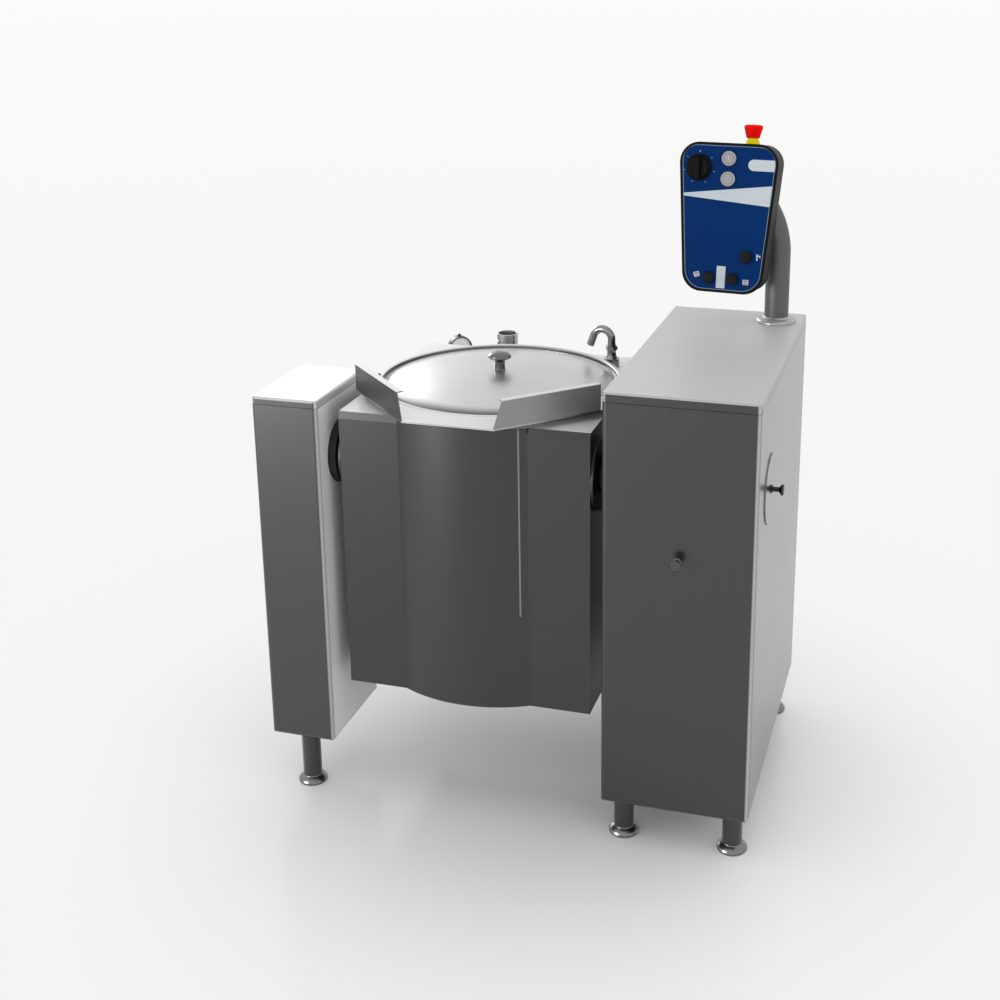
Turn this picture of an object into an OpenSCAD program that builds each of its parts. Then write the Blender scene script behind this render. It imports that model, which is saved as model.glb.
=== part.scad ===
// Tilting steam-jacketed cooking kettle between a control cabinet and a support column.
// Local drawing frame: x = 0 is the cabinet's inner face, y = 0 the cabinet's front face,
// z = 0 the floor, and the cook stands on the -Y side. to_row() moves it to the row frame.

/* [Cabinet] */
// Width of the control cabinet
cabinet_w = 280; // [240:5:340]
// Depth of the control cabinet
cabinet_d = 635; // [600:5:700]
// Height of the cabinet's top above the floor
cabinet_top = 900; // [880:1:950]
// Height of the cabinet's underside above the floor
cabinet_base = 88; // [70:1:130]
// Depth of the folded skirt of both pillar caps
cap_skirt = 18; // [12:1:30]
// Outside radius of the pillars' folded corners
corner_r = 9; // [5:0.5:14]
// Sheet thickness of the pillars
sheet_t = 2; // [1.5:0.5:3]

/* [Support column] */
// Width of the support column
column_w = 135; // [120:1:180]
// Depth of the support column
column_d = 223; // [215:1:280]
// Height of the column's top above the floor
column_top = 836; // [810:1:870]
// Height of the column's underside above the floor
column_base = 125; // [80:1:150]

/* [Kettle] */
// Running gap between the kettle and each pillar
side_gap = 28.5; // [22:0.5:40]
// Width of the kettle's casing
casing_w = 488.5; // [480:0.5:540]
// Depth of the kettle's casing from the belly's front
casing_d = 524; // [520:1:560]
// How far the flat front lies behind the belly's front
front_step = 32.5; // [25:0.5:45]
// Radius of the round belly
belly_r = 262; // [258:1:275]
// Height of the casing's underside above the floor
casing_base = 250; // [220:1:280]
// Height of the casing's deck above the floor
deck_z = 810; // [800:1:820]
// Height of the bevel along the deck's flat front edges
deck_skirt = 14; // [10:1:20]
// Depth of that bevel
deck_bevel = 4; // [2:0.5:8]
// Sheet thickness of the casing
casing_t = 2; // [1.5:0.5:2.5]

/* [Vessel] */
// Room between the vessel's inside and the casing's sides
vessel_room = 28.25; // [26.25:0.5:39.25]
// Wall of the vessel
vessel_t = 3; // [2:0.5:4]
// Depth of the vessel below its rim
vessel_depth = 418; // [360:1:430]
// Height of the dished bottom
dish_h = 70; // [60:1:90]
// Steam space between the vessel and the jacket
steam_gap = 12.5; // [8:0.5:13]
// Wall of the jacket
jacket_t = 2.5; // [2:0.5:3]
// Width of the rim from the vessel's inside to its outer edge
rim_reach = 27; // [27:0.5:30]
// Height of the rim above the deck
rim_h = 18; // [14:0.5:24]
// Width of the rim's flat land
rim_land = 10; // [6:0.5:12]
// How far the lid's seat lies below the rim's top
seat_drop = 10; // [8:0.5:12]

/* [Pouring lip] */
// Half width of the pouring edge
lip_half = 87.5; // [70:0.5:100]
// How far the pouring edge stands out from the belly
lip_reach = 40; // [20:1:60]
// Height of the splash guards above the rim
guard_h = 50; // [30:1:70]
// Width of the guards' folded top flange
guard_flange = 14; // [8:1:20]
// How far the guard's front end leans back at its top
guard_lean = 18; // [0:1:30]
// Sheet thickness of lip, rim and guards
lip_t = 3; // [2:0.5:4]

/* [Lid] */
// Gap between the lid's edge and the rim's land
lid_gap = 6; // [4:0.5:9]
// Rise of the lid's dome
dome_h = 21; // [12:1:35]
// Sheet thickness of the lid
lid_t = 2; // [1.5:0.5:2.5]
// Diameter of the lid knob's cap
knob_cap_d = 47; // [36:1:60]
// Diameter of the lid knob's stem
knob_stem_d = 21; // [16:1:28]
// Height of the lid knob above the dome
knob_h = 36; // [28:1:45]

/* [Tilting gear] */
// Height of the tilt axis above the floor
axis_z = 710; // [680:1:730]
// How far the tilt axis lies behind the pillars' front
axis_y = 102; // [95:1:115]
// Diameter of both trunnion shafts
trunnion_d = 60; // [45:1:64]
// Radius of the trunnions' flanges
flange_r = 70; // [55:1:75]
// Radius of the rubber seal on the column
seal_r = 65; // [50:1:70]
// Radius of the right side's rubber seal
right_seal_r = 38; // [36:1:45]
// Gear module
gear_module = 3; // [2:0.5:3]
// Teeth of the full circle that the sector gear is cut from
sector_teeth = 64; // [50:1:64]
// Teeth of the pinion
pinion_teeth = 16; // [14:1:20]
// Width of the sector gear
gear_w = 16; // [10:1:22]
// Largest tilt of the kettle in degrees
tilt_max = 100; // [90:1:105]

/* [Control panel] */
// Width of the panel at its top
panel_top_w = 199; // [180:1:220]
// Width of the panel at its bottom
panel_bottom_w = 166; // [150:1:190]
// Height of the panel
panel_h = 296; // [280:1:320]
// Depth of the panel's housing
panel_depth = 60; // [50:1:70]
// Corner radius of the panel
panel_r = 40; // [30:1:50]
// Height of the panel's centre above the cabinet's top
panel_lift = 224; // [220:1:260]
// How far the panel turns to the cook's left, in degrees
panel_yaw = 6; // [0:1:15]
// How far the panel leans back, in degrees
panel_lean = 7; // [0:1:15]
// Diameter of the panel's post
post_d = 49; // [40:1:55]
// Bend radius of the post
post_bend_r = 176; // [150:1:190]

/* [Controls] */
// Diameter of the rotary knob
dial_d = 52; // [40:1:56]
// Diameter of the two grey push buttons
grey_button_d = 29; // [24:1:31]
// Diameter of the three black push buttons
black_button_d = 24; // [20:1:27]
// Travel of the push buttons
button_travel = 3; // [2:0.5:3.5]
// Diameter of the stop button's head
stop_d = 37; // [30:1:42]
// Travel of the stop button
stop_travel = 4; // [3:0.5:4]

/* [Fittings] */
// Diameter of the tap's pipe
tap_pipe_d = 12.5; // [10:0.5:16]
// Bend radius of the tap's pipe
tap_bend_r = 20; // [16:1:26]
// Diameter of the pressure gauge
gauge_d = 50; // [45:1:56]
// Diameter of the safety valve
valve_d = 45; // [35:1:50]
// Diameter of the turned knobs' heads on the cabinet
peg_d = 21; // [16:1:26]
// How far the turned knobs stand out
peg_reach = 26; // [18:1:32]
// Diameter of the legs
leg_d = 38; // [32:1:45]
// Diameter of the feet's flanges
foot_d = 58; // [50:1:70]

/* [Fits] */
// Clearance between pieces that lie against each other
seat_gap = 0.3; // [0.2:0.05:0.5]
// Radial clearance of shafts in their bushes
running_gap = 0.05; // [0.02:0.01:0.1]
// Clearance round moving buttons
slide_gap = 0.4; // [0.3:0.05:0.6]

/* [Hidden] */
$fn = 96;
eps = 0.01;

kettle_x = -side_gap - casing_w / 2;
kettle_y = belly_r;
vessel_r = min(casing_w / 2, casing_d - kettle_y) - vessel_room;
rim_r = vessel_r + rim_reach;
lid_r = rim_r - rim_land - lid_gap;
column_x1 = -2 * side_gap - casing_w;
column_x0 = column_x1 - column_w;
rim_z = deck_z + rim_h;
casing_x0 = kettle_x - casing_w / 2;
casing_x1 = kettle_x + casing_w / 2;
rear_cover_t = 3;
row_x = -(column_x0 + cabinet_w + peg_reach) / 2;
row_y = -(cabinet_d + rear_cover_t - lip_reach) / 2;

// Moves the local drawing frame to the row frame: the middle of the footprint on the floor
module to_row() {
    translate([row_x, row_y, 0]) children();
}

// Rectangle with round corners, its low corner at the origin
module round_rect(w, d, r) {
    translate([r, 0]) square([w - 2 * r, d]);
    translate([0, r]) square([w, d - 2 * r]);
    for (x = [r, w - r], y = [r, d - r]) translate([x, y]) circle(r);
}

// Block with round upright corners and round bottom edges, its low corner at the origin
module folded_block(w, d, h, r) {
    intersection() {
        linear_extrude(h) round_rect(w, d, r);
        translate([0, d, 0]) rotate([90, 0, 0]) linear_extrude(d) round_rect(w, h + 2 * r, r);
        rotate([90, 0, 90]) linear_extrude(w) round_rect(d, h + 2 * r, r);
    }
}

// Lies along +X from the tilt axis's point at x
module on_tilt_axis(x) {
    translate([x, axis_y, axis_z]) rotate([0, 90, 0]) children();
}

// Puts a cylinder's axis along -Y at a point of the cabinet's front
module facing_front(x, y, z) {
    translate([x, y, z]) rotate([90, 0, 0]) children();
}

module tube(r_out, r_in, h) {
    difference() {
        cylinder(h = h, r = r_out);
        translate([0, 0, -eps]) cylinder(h = h + 2 * eps, r = r_in);
    }
}

floor_t = 4;
floor_lift = 10;
leg_inset_x = 35;
leg_inset_y = 50;
bearing_r = 55;
bush_r = trunnion_d / 2 + 6;
bearing_t = 24;
shell_top = cabinet_top - cap_skirt;
column_shell_top = column_top - cap_skirt + 3;

cabinet_leg_places = [
    for (x = [leg_inset_x, cabinet_w - leg_inset_x], y = [leg_inset_y, cabinet_d - leg_inset_y]) [x, y]
];
column_leg_place = [(column_x0 + column_x1) / 2 - 8, leg_inset_y];

module control_cabinet() {
    opening_w = cabinet_w - 60;
    opening_inset = 60;
    color("silver") difference() {
        translate([0, 0, cabinet_base])
            folded_block(cabinet_w, cabinet_d, shell_top - cabinet_base, corner_r);
        translate([sheet_t, sheet_t, cabinet_base + sheet_t])
            linear_extrude(cabinet_top)
                round_rect(cabinet_w - 2 * sheet_t, cabinet_d - 2 * sheet_t, corner_r - sheet_t);
        on_tilt_axis(-1) cylinder(h = sheet_t + 2, r = bush_r + 2);
        on_cover_axis(cabinet_w - sheet_t - 1) cylinder(h = sheet_t + 2, r = side_cover_r - 10);
        facing_front(cabinet_w / 2, sheet_t + 1, peg_z)
            cylinder(h = sheet_t + 2, r = peg_stud_r + seat_gap);
        translate([(cabinet_w - opening_w) / 2, cabinet_d - sheet_t - 1, cabinet_base + opening_inset])
            cube([opening_w, sheet_t + 2, shell_top - cabinet_base - 2 * opening_inset]);
        for (p = cabinet_leg_places) translate([p[0], p[1], cabinet_base - 1])
            cylinder(h = sheet_t + 2, r = leg_d / 2 + seat_gap);
    }
}

module pillar_cap(w, d, z_top, skirt) {
    cap_t = 2.5;
    difference() {
        translate([0, 0, z_top - skirt]) intersection() {
            linear_extrude(skirt) round_rect(w, d, corner_r);
            translate([0, d, -2 * skirt]) rotate([90, 0, 0]) linear_extrude(d) round_rect(w, 3 * skirt, 4);
            translate([0, 0, -2 * skirt]) rotate([90, 0, 90]) linear_extrude(w) round_rect(d, 3 * skirt, 4);
        }
        translate([cap_t, cap_t, z_top - skirt - 1])
            linear_extrude(skirt + 1 - cap_t) round_rect(w - 2 * cap_t, d - 2 * cap_t, corner_r - cap_t);
    }
}

module cabinet_cap() {
    color("silver") difference() {
        pillar_cap(cabinet_w, cabinet_d, cabinet_top, cap_skirt - cap_joint);
        translate([post_x, post_y, cabinet_top - cap_skirt])
            cylinder(h = 2 * cap_skirt, r = post_d / 2 + seat_gap);
    }
}
// Dark line between each cap's skirt and its pillar
cap_joint = 0.8;

module floor_plate(x0, y0, w, d, z, holes) {
    translate([x0 + sheet_t + seat_gap, y0 + sheet_t + seat_gap, z]) difference() {
        linear_extrude(floor_t) round_rect(w - 2 * (sheet_t + seat_gap), d - 2 * (sheet_t + seat_gap),
            corner_r - sheet_t);
        for (p = holes) translate([p[0] - x0 - sheet_t - seat_gap, p[1] - y0 - sheet_t - seat_gap, -1])
            cylinder(h = floor_t + 2, r = leg_d / 2 + seat_gap);
    }
}

module cabinet_floor() {
    color("darkgray") floor_plate(0, 0, cabinet_w, cabinet_d, cabinet_base + floor_lift,
        cabinet_leg_places);
}

module rear_cover() {
    margin = 22;
    lift = 45;
    color("silver") translate([margin, cabinet_d + 0.2, cabinet_base + lift]) rotate([-90, 0, 0])
        mirror([0, 1, 0])
        linear_extrude(rear_cover_t - 0.2)
            round_rect(cabinet_w - 2 * margin, shell_top - cabinet_base - 2 * lift, 6);
}

side_cover_r = 66;
side_cover_t = 2;
side_cover_y = 140;
side_cover_z = 697;
peg_z = 598;
peg_stud_r = 4;

// Lies along +X from the side cover's middle at x
module on_cover_axis(x) {
    translate([x, side_cover_y, side_cover_z]) rotate([0, 90, 0]) children();
}

module side_cover() {
    color("silver") on_cover_axis(cabinet_w + 0.2) difference() {
        cylinder(h = side_cover_t, r = side_cover_r);
        translate([0, 0, -1]) cylinder(h = side_cover_t + 2, r = peg_stud_r + slide_gap);
    }
}

// Turned knob on a stud: a base ring, a waist and a domed head, standing on z = 0
module turned_peg(reach, stud) {
    neck = peg_d * 0.21;
    head = peg_d / 2;
    rotate_extrude() union() {
        polygon([
            [0, 0], [neck * 1.7, 0], [neck * 1.7, reach * 0.1], [neck, reach * 0.2],
            [neck, reach * 0.62], [head - 1.5, reach * 0.78], [head, reach * 0.84],
            [head, reach * 0.92], [head - 2, reach], [0, reach]
        ]);
        translate([0, -stud]) square([peg_stud_r, stud + eps]);
    }
}

module hanger_peg() {
    color("silver") facing_front(cabinet_w / 2, 0, peg_z) union() {
        turned_peg(peg_reach, sheet_t + 8);
        translate([0, 0, -sheet_t - 6.2]) cylinder(h = 6, r = 9, $fn = 6);
    }
}

module cover_latch() {
    bar_z = -side_cover_t - sheet_t - 4;
    color("silver") on_cover_axis(cabinet_w + side_cover_t + 0.5) union() {
        turned_peg(peg_reach - side_cover_t - 0.5, side_cover_t + sheet_t + 6);
        translate([-6, -side_cover_r + 1, bar_z - 3]) cube([12, 2 * side_cover_r - 2, 3]);
    }
}

// Leg: a sleeve fixed in the pillar's floor and a tube that screws out of it
module leg(top, sleeve) {
    translate([0, 0, foot_neck_z + seat_gap])
        tube(leg_d / 2, leg_d / 2 - 3, top - foot_neck_z - seat_gap - sleeve);
    translate([0, 0, top - sleeve + 1.2]) tube(leg_d / 2, leg_d / 2 - 3, sleeve - 1.2);
    translate([0, 0, top - sleeve - 0.2]) tube(leg_d / 2 - 1, leg_d / 2 - 3, 1.6);
}

foot_neck_z = 16;

module foot(stem_top) {
    rotate_extrude() union() {
        polygon([
            [0, 0], [foot_d / 2 - 1, 0], [foot_d / 2, 1.5], [foot_d / 2, 5], [foot_d / 2 - 2, 8.5],
            [foot_d / 2 - 5.5, 11.5], [leg_d / 2, 14.5], [leg_d / 2 - 0.5, foot_neck_z], [0, foot_neck_z]
        ]);
        square([10, stem_top]);
    }
}

module cabinet_legs() {
    color("silver") for (p = cabinet_leg_places) translate([p[0], p[1], 0])
        leg(cabinet_base + floor_lift + floor_t + 8, 8);
}

module cabinet_feet() {
    color("gainsboro") for (p = cabinet_leg_places) translate([p[0], p[1], 0]) foot(cabinet_base - 10);
}

module column_leg() {
    color("silver") translate([column_leg_place[0], column_leg_place[1], 0])
        leg(column_base + floor_lift + floor_t + 8, 40);
}

module column_foot() {
    color("gainsboro") translate([column_leg_place[0], column_leg_place[1], 0]) foot(column_base - 10);
}

module support_column() {
    color("silver") difference() {
        translate([column_x0, 0, column_base])
            folded_block(column_w, column_d, column_shell_top - column_base, corner_r);
        translate([column_x0 + sheet_t, sheet_t, column_base + sheet_t])
            linear_extrude(column_top)
                round_rect(column_w - 2 * sheet_t, column_d - 2 * sheet_t, corner_r - sheet_t);
        on_tilt_axis(column_x1 - sheet_t - 1) cylinder(h = sheet_t + 2, r = bush_r + 2);
        translate([column_leg_place[0], column_leg_place[1], column_base - 1])
            cylinder(h = sheet_t + 2, r = leg_d / 2 + seat_gap);
    }
}

module column_cap() {
    color("silver") translate([column_x0, 0, 0])
        pillar_cap(column_w, column_d, column_top, column_top - column_shell_top - cap_joint);
}

module column_floor() {
    color("darkgray") floor_plate(column_x0, 0, column_w, column_d, column_base + floor_lift,
        [column_leg_place]);
}

// Flanged bearing housing that stands on z = 0 round the tilt axis
module bearing_housing() {
    difference() {
        union() {
            cylinder(h = 8, r = bearing_r);
            cylinder(h = bearing_t, r = bush_r + 8);
        }
        translate([0, 0, -1]) cylinder(h = bearing_t + 2, r = bush_r);
        for (a = [45:90:315]) rotate(a) translate([bearing_r - 7, 0, -1]) cylinder(h = 10, r = 3.3);
    }
}

module bearing_left() {
    color("dimgray") on_tilt_axis(column_x1 - sheet_t) mirror([0, 0, 1]) bearing_housing();
}

module bearing_right() {
    color("dimgray") on_tilt_axis(sheet_t) bearing_housing();
}

module bush() {
    tube(bush_r, trunnion_d / 2 + running_gap, bearing_t);
}

module trunnion_bushes() {
    color("goldenrod") on_tilt_axis(column_x1 - sheet_t) mirror([0, 0, 1]) bush();
    color("goldenrod") on_tilt_axis(sheet_t) bush();
}

seal_t = 16;
seal_bore = trunnion_d / 2 + 2;

// Rubber ring against a pillar's face, its outer edge rounded
module seal(r, t) {
    rotate_extrude() polygon([
        [seal_bore, 0], [r, 0], [r, t - 4], [r - 1.2, t - 1.2], [r - 4, t], [seal_bore, t]
    ]);
}

module seal_left() {
    color("black") on_tilt_axis(column_x1) seal(seal_r, seal_t);
}

module seal_right() {
    color("black") on_tilt_axis(0) mirror([0, 0, 1]) seal(right_seal_r, side_gap - trunnion_flange_t - 1);
}

trunnion_flange_t = 6;
trunnion_left_end = column_x1 - sheet_t - bearing_t - 6;
gear_x = sheet_t + bearing_t + 14;
trunnion_right_end = gear_x + gear_w + 8;

// Trunnion: a flange on the casing's side and the shaft that turns in the bush
module trunnion(length) {
    edge = 1.5;
    rotate_extrude() polygon([
        [0, 0], [flange_r, 0], [flange_r, trunnion_flange_t - edge], [flange_r - edge, trunnion_flange_t],
        [trunnion_d / 2, trunnion_flange_t], [trunnion_d / 2, length - 2], [trunnion_d / 2 - 2, length],
        [0, length]
    ]);
}

module trunnion_left() {
    color("silver") on_tilt_axis(casing_x0) mirror([0, 0, 1]) trunnion(casing_x0 - trunnion_left_end);
}

module trunnion_right() {
    color("silver") on_tilt_axis(casing_x1) trunnion(trunnion_right_end - casing_x1);
}

// Involute tooth flank: a point at the unwinding angle a in degrees on the base circle rb
function involute(rb, a) = let (t = a * PI / 180) rb * [cos(a) + t * sin(a), sin(a) - t * cos(a)];
function turned(p, a) = [p[0] * cos(a) - p[1] * sin(a), p[0] * sin(a) + p[1] * cos(a)];
function unwind_to(rb, r) = r <= rb ? 0 : sqrt(pow(r / rb, 2) - 1) * 180 / PI;

pressure_angle = 20;
backlash = 0.12;
flank_steps = 4;

// Points of one gear tooth centred on +X, from its root to its tip and back
function tooth(teeth, m) =
    let (
        rp = m * teeth / 2,
        rb = rp * cos(pressure_angle),
        ra = rp + m,
        rf = rp - 1.25 * m,
        r0 = max(rb, rf),
        inv = tan(pressure_angle) * 180 / PI - pressure_angle,
        half = 90 / teeth - backlash / 2 / rp * 180 / PI + inv,
        u0 = unwind_to(rb, r0),
        u1 = unwind_to(rb, ra),
        flank = [for (i = [0:flank_steps]) turned(involute(rb, u0 + (u1 - u0) * i / flank_steps), -half)],
        root = rf < rb ? [rf * [cos(-half), sin(-half)]] : [],
        side = concat(root, flank)
    )
    concat(side, [for (i = [len(side) - 1:-1:0]) [side[i][0], -side[i][1]]]);

module gear_outline(teeth, m, first, last) {
    step = 360 / teeth;
    polygon([
        for (k = [first:last]) each [for (p = tooth(teeth, m)) turned(p, k * step)],
        if (last - first < teeth - 1) [0, 0]
    ]);
}

gear_gap = gear_module * (sector_teeth + pinion_teeth) / 2;
pinion_y = axis_y + gear_gap;

// Sector gear on the right trunnion: it keeps only the teeth that the tilt sweeps past the pinion
module sector_gear() {
    spare = 5;
    swept = ceil(tilt_max / 360 * sector_teeth) + spare;
    hub_r = trunnion_d / 2 + 14;
    color("lightsteelblue") translate([gear_x, axis_y, axis_z]) rotate([90, 0, 90]) difference() {
        union() {
            linear_extrude(gear_w) gear_outline(sector_teeth, gear_module, -swept, spare);
            cylinder(h = gear_w, r = hub_r);
        }
        translate([0, 0, -1]) cylinder(h = gear_w + 2, r = trunnion_d / 2 + seat_gap / 2);
        for (a = [-18, -42, -66]) rotate(a) translate([hub_r + 22, 0, -1]) cylinder(h = gear_w + 2, r = 9);
    }
}

motor_shaft_r = 9;

module pinion() {
    shaft_end = gear_x + gear_w + 40;
    color("lightsteelblue") translate([gear_x - 2, pinion_y, axis_z]) rotate([90, 0, 90]) union() {
        rotate(180 / pinion_teeth) linear_extrude(gear_w + 4)
            gear_outline(pinion_teeth, gear_module, 0, pinion_teeth - 1);
        cylinder(h = shaft_end - gear_x, r = motor_shaft_r);
    }
}

motor_x = gear_x + gear_w + 12;

// Gear motor: a square gearbox with a bore for the pinion shaft and a finned motor barrel below it
module gear_motor() {
    box = 76;
    depth = 60;
    barrel_r = 44;
    barrel_h = 170;
    fins = 14;
    color("darkslategray") difference() {
        union() {
            translate([motor_x, pinion_y - box / 2, axis_z - box / 2]) cube([depth, box, box]);
            translate([motor_x + depth / 2 + 14, pinion_y, axis_z - box / 2 - barrel_h])
                cylinder(h = barrel_h + eps, r = barrel_r - 4);
            for (k = [0:fins - 1]) translate([motor_x + depth / 2 + 14, pinion_y,
                axis_z - box / 2 - 22 - k * 9])
                cylinder(h = 3, r = barrel_r);
        }
        translate([motor_x - 1, pinion_y, axis_z]) rotate([0, 90, 0])
            cylinder(h = 45, r = motor_shaft_r + running_gap);
    }
}

// Bracket that carries the gear motor from the cabinet's inner wall
module motor_bracket() {
    t = 6;
    arm = 50;
    front = 36;
    foot_w = 46;
    plate_h = 150;
    z0 = axis_z - plate_h / 2;
    color("darkgray") union() {
        translate([sheet_t, pinion_y + arm, z0]) cube([motor_x - sheet_t, t, plate_h]);
        translate([sheet_t, pinion_y + arm, z0]) cube([t, foot_w, plate_h]);
        translate([motor_x - t, pinion_y - front, z0]) difference() {
            cube([t, front + arm + t, plate_h]);
            translate([-1, front, plate_h / 2]) rotate([0, 90, 0])
                cylinder(h = t + 2, r = motor_shaft_r + 6);
        }
    }
}

// Electrical box on the cabinet's floor, with a row of switchgear on a rail
module electronics_box() {
    side_room = 60;
    w = cabinet_w - 2 * side_room;
    d = 120;
    h = 190;
    wall = 4;
    back = 40;
    rear_room = 40;
    blocks = 4;
    pitch = (w - 16) / blocks;
    y0 = cabinet_d - rear_room - d;
    color("gainsboro") translate([side_room, y0, cabinet_base + floor_lift + floor_t]) union() {
        difference() {
            cube([w, d, h]);
            translate([wall, back, wall]) cube([w - 2 * wall, d, h - 2 * wall]);
        }
        for (k = [0:blocks - 1]) translate([14 + k * pitch, back - eps, 60]) cube([pitch - 6, 52, 70]);
        translate([6, back - eps, 84]) cube([w - 12, 6, 20]);
    }
}

post_inset = [54, 73];
post_x = cabinet_w - post_inset[0];
post_y = cabinet_d - post_inset[1];
post_turn = 30;
post_rise = 140;
post_bend_z = cabinet_top + post_rise;
post_bend = 45;
post_tail = 44;
post_foot = 60;
weld_gap = 0.02;
panel_from_post = [-97, -82];
panel_x = post_x + panel_from_post[0];
panel_y = post_y + panel_from_post[1];
panel_z = cabinet_top + panel_lift;

// Panel frame: x to the right, y up the panel's face and z out of the face
module on_panel() {
    translate([panel_x, panel_y, panel_z]) rotate([0, 0, -panel_yaw]) rotate([90 - panel_lean, 0, 0])
        children();
}

// Round rod up the Z axis from z0 to z1, bent over towards +X, then straight on.
// The straight lengths lap into the bend and are a hair thinner, as where a tube is drawn in a bender.
module bent_rod(r, z0, z1, bend_r, bend, tail) {
    lap = 1;
    thin = 0.05;
    translate([0, 0, z0]) cylinder(h = z1 - z0 + lap, r = r - thin);
    translate([bend_r, 0, z1]) rotate([90, 0, 0]) rotate(180 - bend)
        rotate_extrude(angle = bend) translate([bend_r, 0]) circle(r);
    translate([bend_r * (1 - cos(bend)), 0, z1 + bend_r * sin(bend)]) rotate([0, bend, 0])
        translate([0, 0, -lap]) cylinder(h = tail + lap, r = r - thin);
}

// Post: a straight tube, a bend to the left and forwards, and a short tail cut flush with the
// housing's back
module post() {
    wall = 2.5;
    foot_z = cabinet_top - post_foot;
    color("dimgray") difference() {
        translate([post_x, post_y, 0]) rotate(180 + post_turn) difference() {
            bent_rod(post_d / 2, foot_z, post_bend_z, post_bend_r, post_bend, post_tail);
            bent_rod(post_d / 2 - wall, foot_z - 1, post_bend_z, post_bend_r, post_bend, post_tail + 1);
        }
        on_panel() translate([-panel_top_w, -panel_h, -panel_depth - weld_gap])
            cube([2 * panel_top_w, 2 * panel_h, panel_depth]);
    }
}

module post_flange() {
    color("silver") translate([post_x, post_y, cabinet_top]) rotate_extrude() polygon([
        [post_d / 2 + seat_gap, 0], [40, 0], [40.5, 1.5], [40, 4], [38, 6.5], [35, 8],
        [post_d / 2 + 4, 9], [post_d / 2 + seat_gap, 12]
    ]);
}

// Tapered panel outline with round corners, drawn in from its edge by inset
module panel_outline(inset) {
    r = panel_r - inset;
    top_x = panel_top_w / 2 - panel_r;
    bottom_x = panel_bottom_w / 2 - panel_r;
    y1 = panel_h / 2 - panel_r;
    lean = atan((panel_top_w - panel_bottom_w) / 2 / panel_h);
    q = r - eps;
    out = [q * cos(lean), -q * sin(lean)];
    for (s = [-1, 1]) {
        translate([s * top_x, y1]) circle(r);
        translate([s * bottom_x, -y1]) circle(r);
    }
    polygon([
        [top_x, y1 + q], [-top_x, y1 + q], [-top_x - out[0], y1 + out[1]],
        [-bottom_x - out[0], -y1 + out[1]],
        [-bottom_x, -y1 - q], [bottom_x, -y1 - q], [bottom_x + out[0], -y1 + out[1]],
        [top_x + out[0], y1 + out[1]]
    ]);
}

panel_wall = 3;
back_step = 3;
rim_depth = 6;
rim_w = 5;
fascia_t = 2;
dial_at = [-59, 98];
on_at = [1.5, 118];
off_at = [1.5, 78];
water_at = [47, -73];
up_at = [-26.5, -119];
down_at = [21.5, -119];
stop_u = 38.5;
stem_r = 6;
// Controls: place, hole radius in the fascia
control_holes = [
    [dial_at, 7], [on_at, stem_r + slide_gap], [off_at, stem_r + slide_gap], [water_at, stem_r + slide_gap],
    [up_at, stem_r + slide_gap], [down_at, stem_r + slide_gap]
];

module panel_housing() {
    stop_y = panel_h / 2;
    color([0.24, 0.24, 0.25]) on_panel() difference() {
        translate([0, 0, -panel_depth]) union() {
            translate([0, 0, back_step]) linear_extrude(panel_depth - back_step - rim_depth)
                panel_outline(2);
            linear_extrude(back_step + 1) panel_outline(2 + back_step);
        }
        translate([0, 0, -panel_depth + panel_wall]) linear_extrude(panel_depth)
            panel_outline(3 + back_step);
        translate([0, 0, -panel_depth + panel_wall + back_step]) linear_extrude(panel_depth)
            panel_outline(2 + panel_wall);
        translate([stop_u, stop_y - 20, -panel_depth / 2]) rotate([-90, 0, 0])
            cylinder(h = 30, r = stem_r + slide_gap);
    }
}

module panel_rim() {
    color("black") on_panel() difference() {
        translate([0, 0, -rim_depth]) linear_extrude(rim_depth) panel_outline(0);
        translate([0, 0, -rim_depth - 1]) linear_extrude(rim_depth + 2) panel_outline(rim_w);
    }
}

module fascia() {
    color([0, 0.19, 0.41]) on_panel() difference() {
        translate([0, 0, -fascia_t - 0.6]) linear_extrude(fascia_t) panel_outline(rim_w + 0.2);
        for (c = control_holes) translate([c[0][0], c[0][1], -10]) cylinder(h = 20, r = c[1]);
    }
}

face_z = -0.6;

// Push button: a domed cap in front of the fascia on a stem that runs through it
module push_button(at, d, proud) {
    on_panel() translate([at[0], at[1], face_z]) union() {
        translate([0, 0, button_travel + 0.3]) rotate_extrude() polygon([
            [0, 0], [d / 2, 0], [d / 2, proud - 1.2], [d / 2 - 0.6, proud - 0.4], [d / 2 - 1.6, proud],
            [0, proud + 0.4]
        ]);
        translate([0, 0, -14]) cylinder(h = 14 + button_travel + 0.3 + eps, r = stem_r);
    }
}

module on_button() {
    color("lightgray") push_button(on_at, grey_button_d, 3.5);
}

module off_button() {
    color("lightgray") push_button(off_at, grey_button_d, 3.5);
}

module water_button() {
    color([0.1, 0.1, 0.1]) push_button(water_at, black_button_d, 5);
}

module tilt_up_button() {
    color([0.1, 0.1, 0.1]) push_button(up_at, black_button_d, 5);
}

module tilt_down_button() {
    color([0.1, 0.1, 0.1]) push_button(down_at, black_button_d, 5);
}

// Rotary dial with a raised finger grip across it
module mode_dial() {
    h = 17;
    color([0.08, 0.08, 0.08]) on_panel() translate([dial_at[0], dial_at[1], face_z + 0.3]) union() {
        rotate_extrude() polygon([
            [0, 0], [dial_d / 2, 0], [dial_d / 2, 3.5], [dial_d / 2 - 1, 4.5], [dial_d / 2 - 4, 5.5],
            [dial_d / 2 - 6, h - 7], [0, h - 7]
        ]);
        intersection() {
            translate([-4.5, -dial_d / 2 + 5, 0]) cube([9, dial_d - 10, h]);
            cylinder(h = h, r = dial_d / 2 - 5);
        }
        translate([0, 0, -16]) cylinder(h = 16 + eps, r = 6.6);
    }
}

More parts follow.
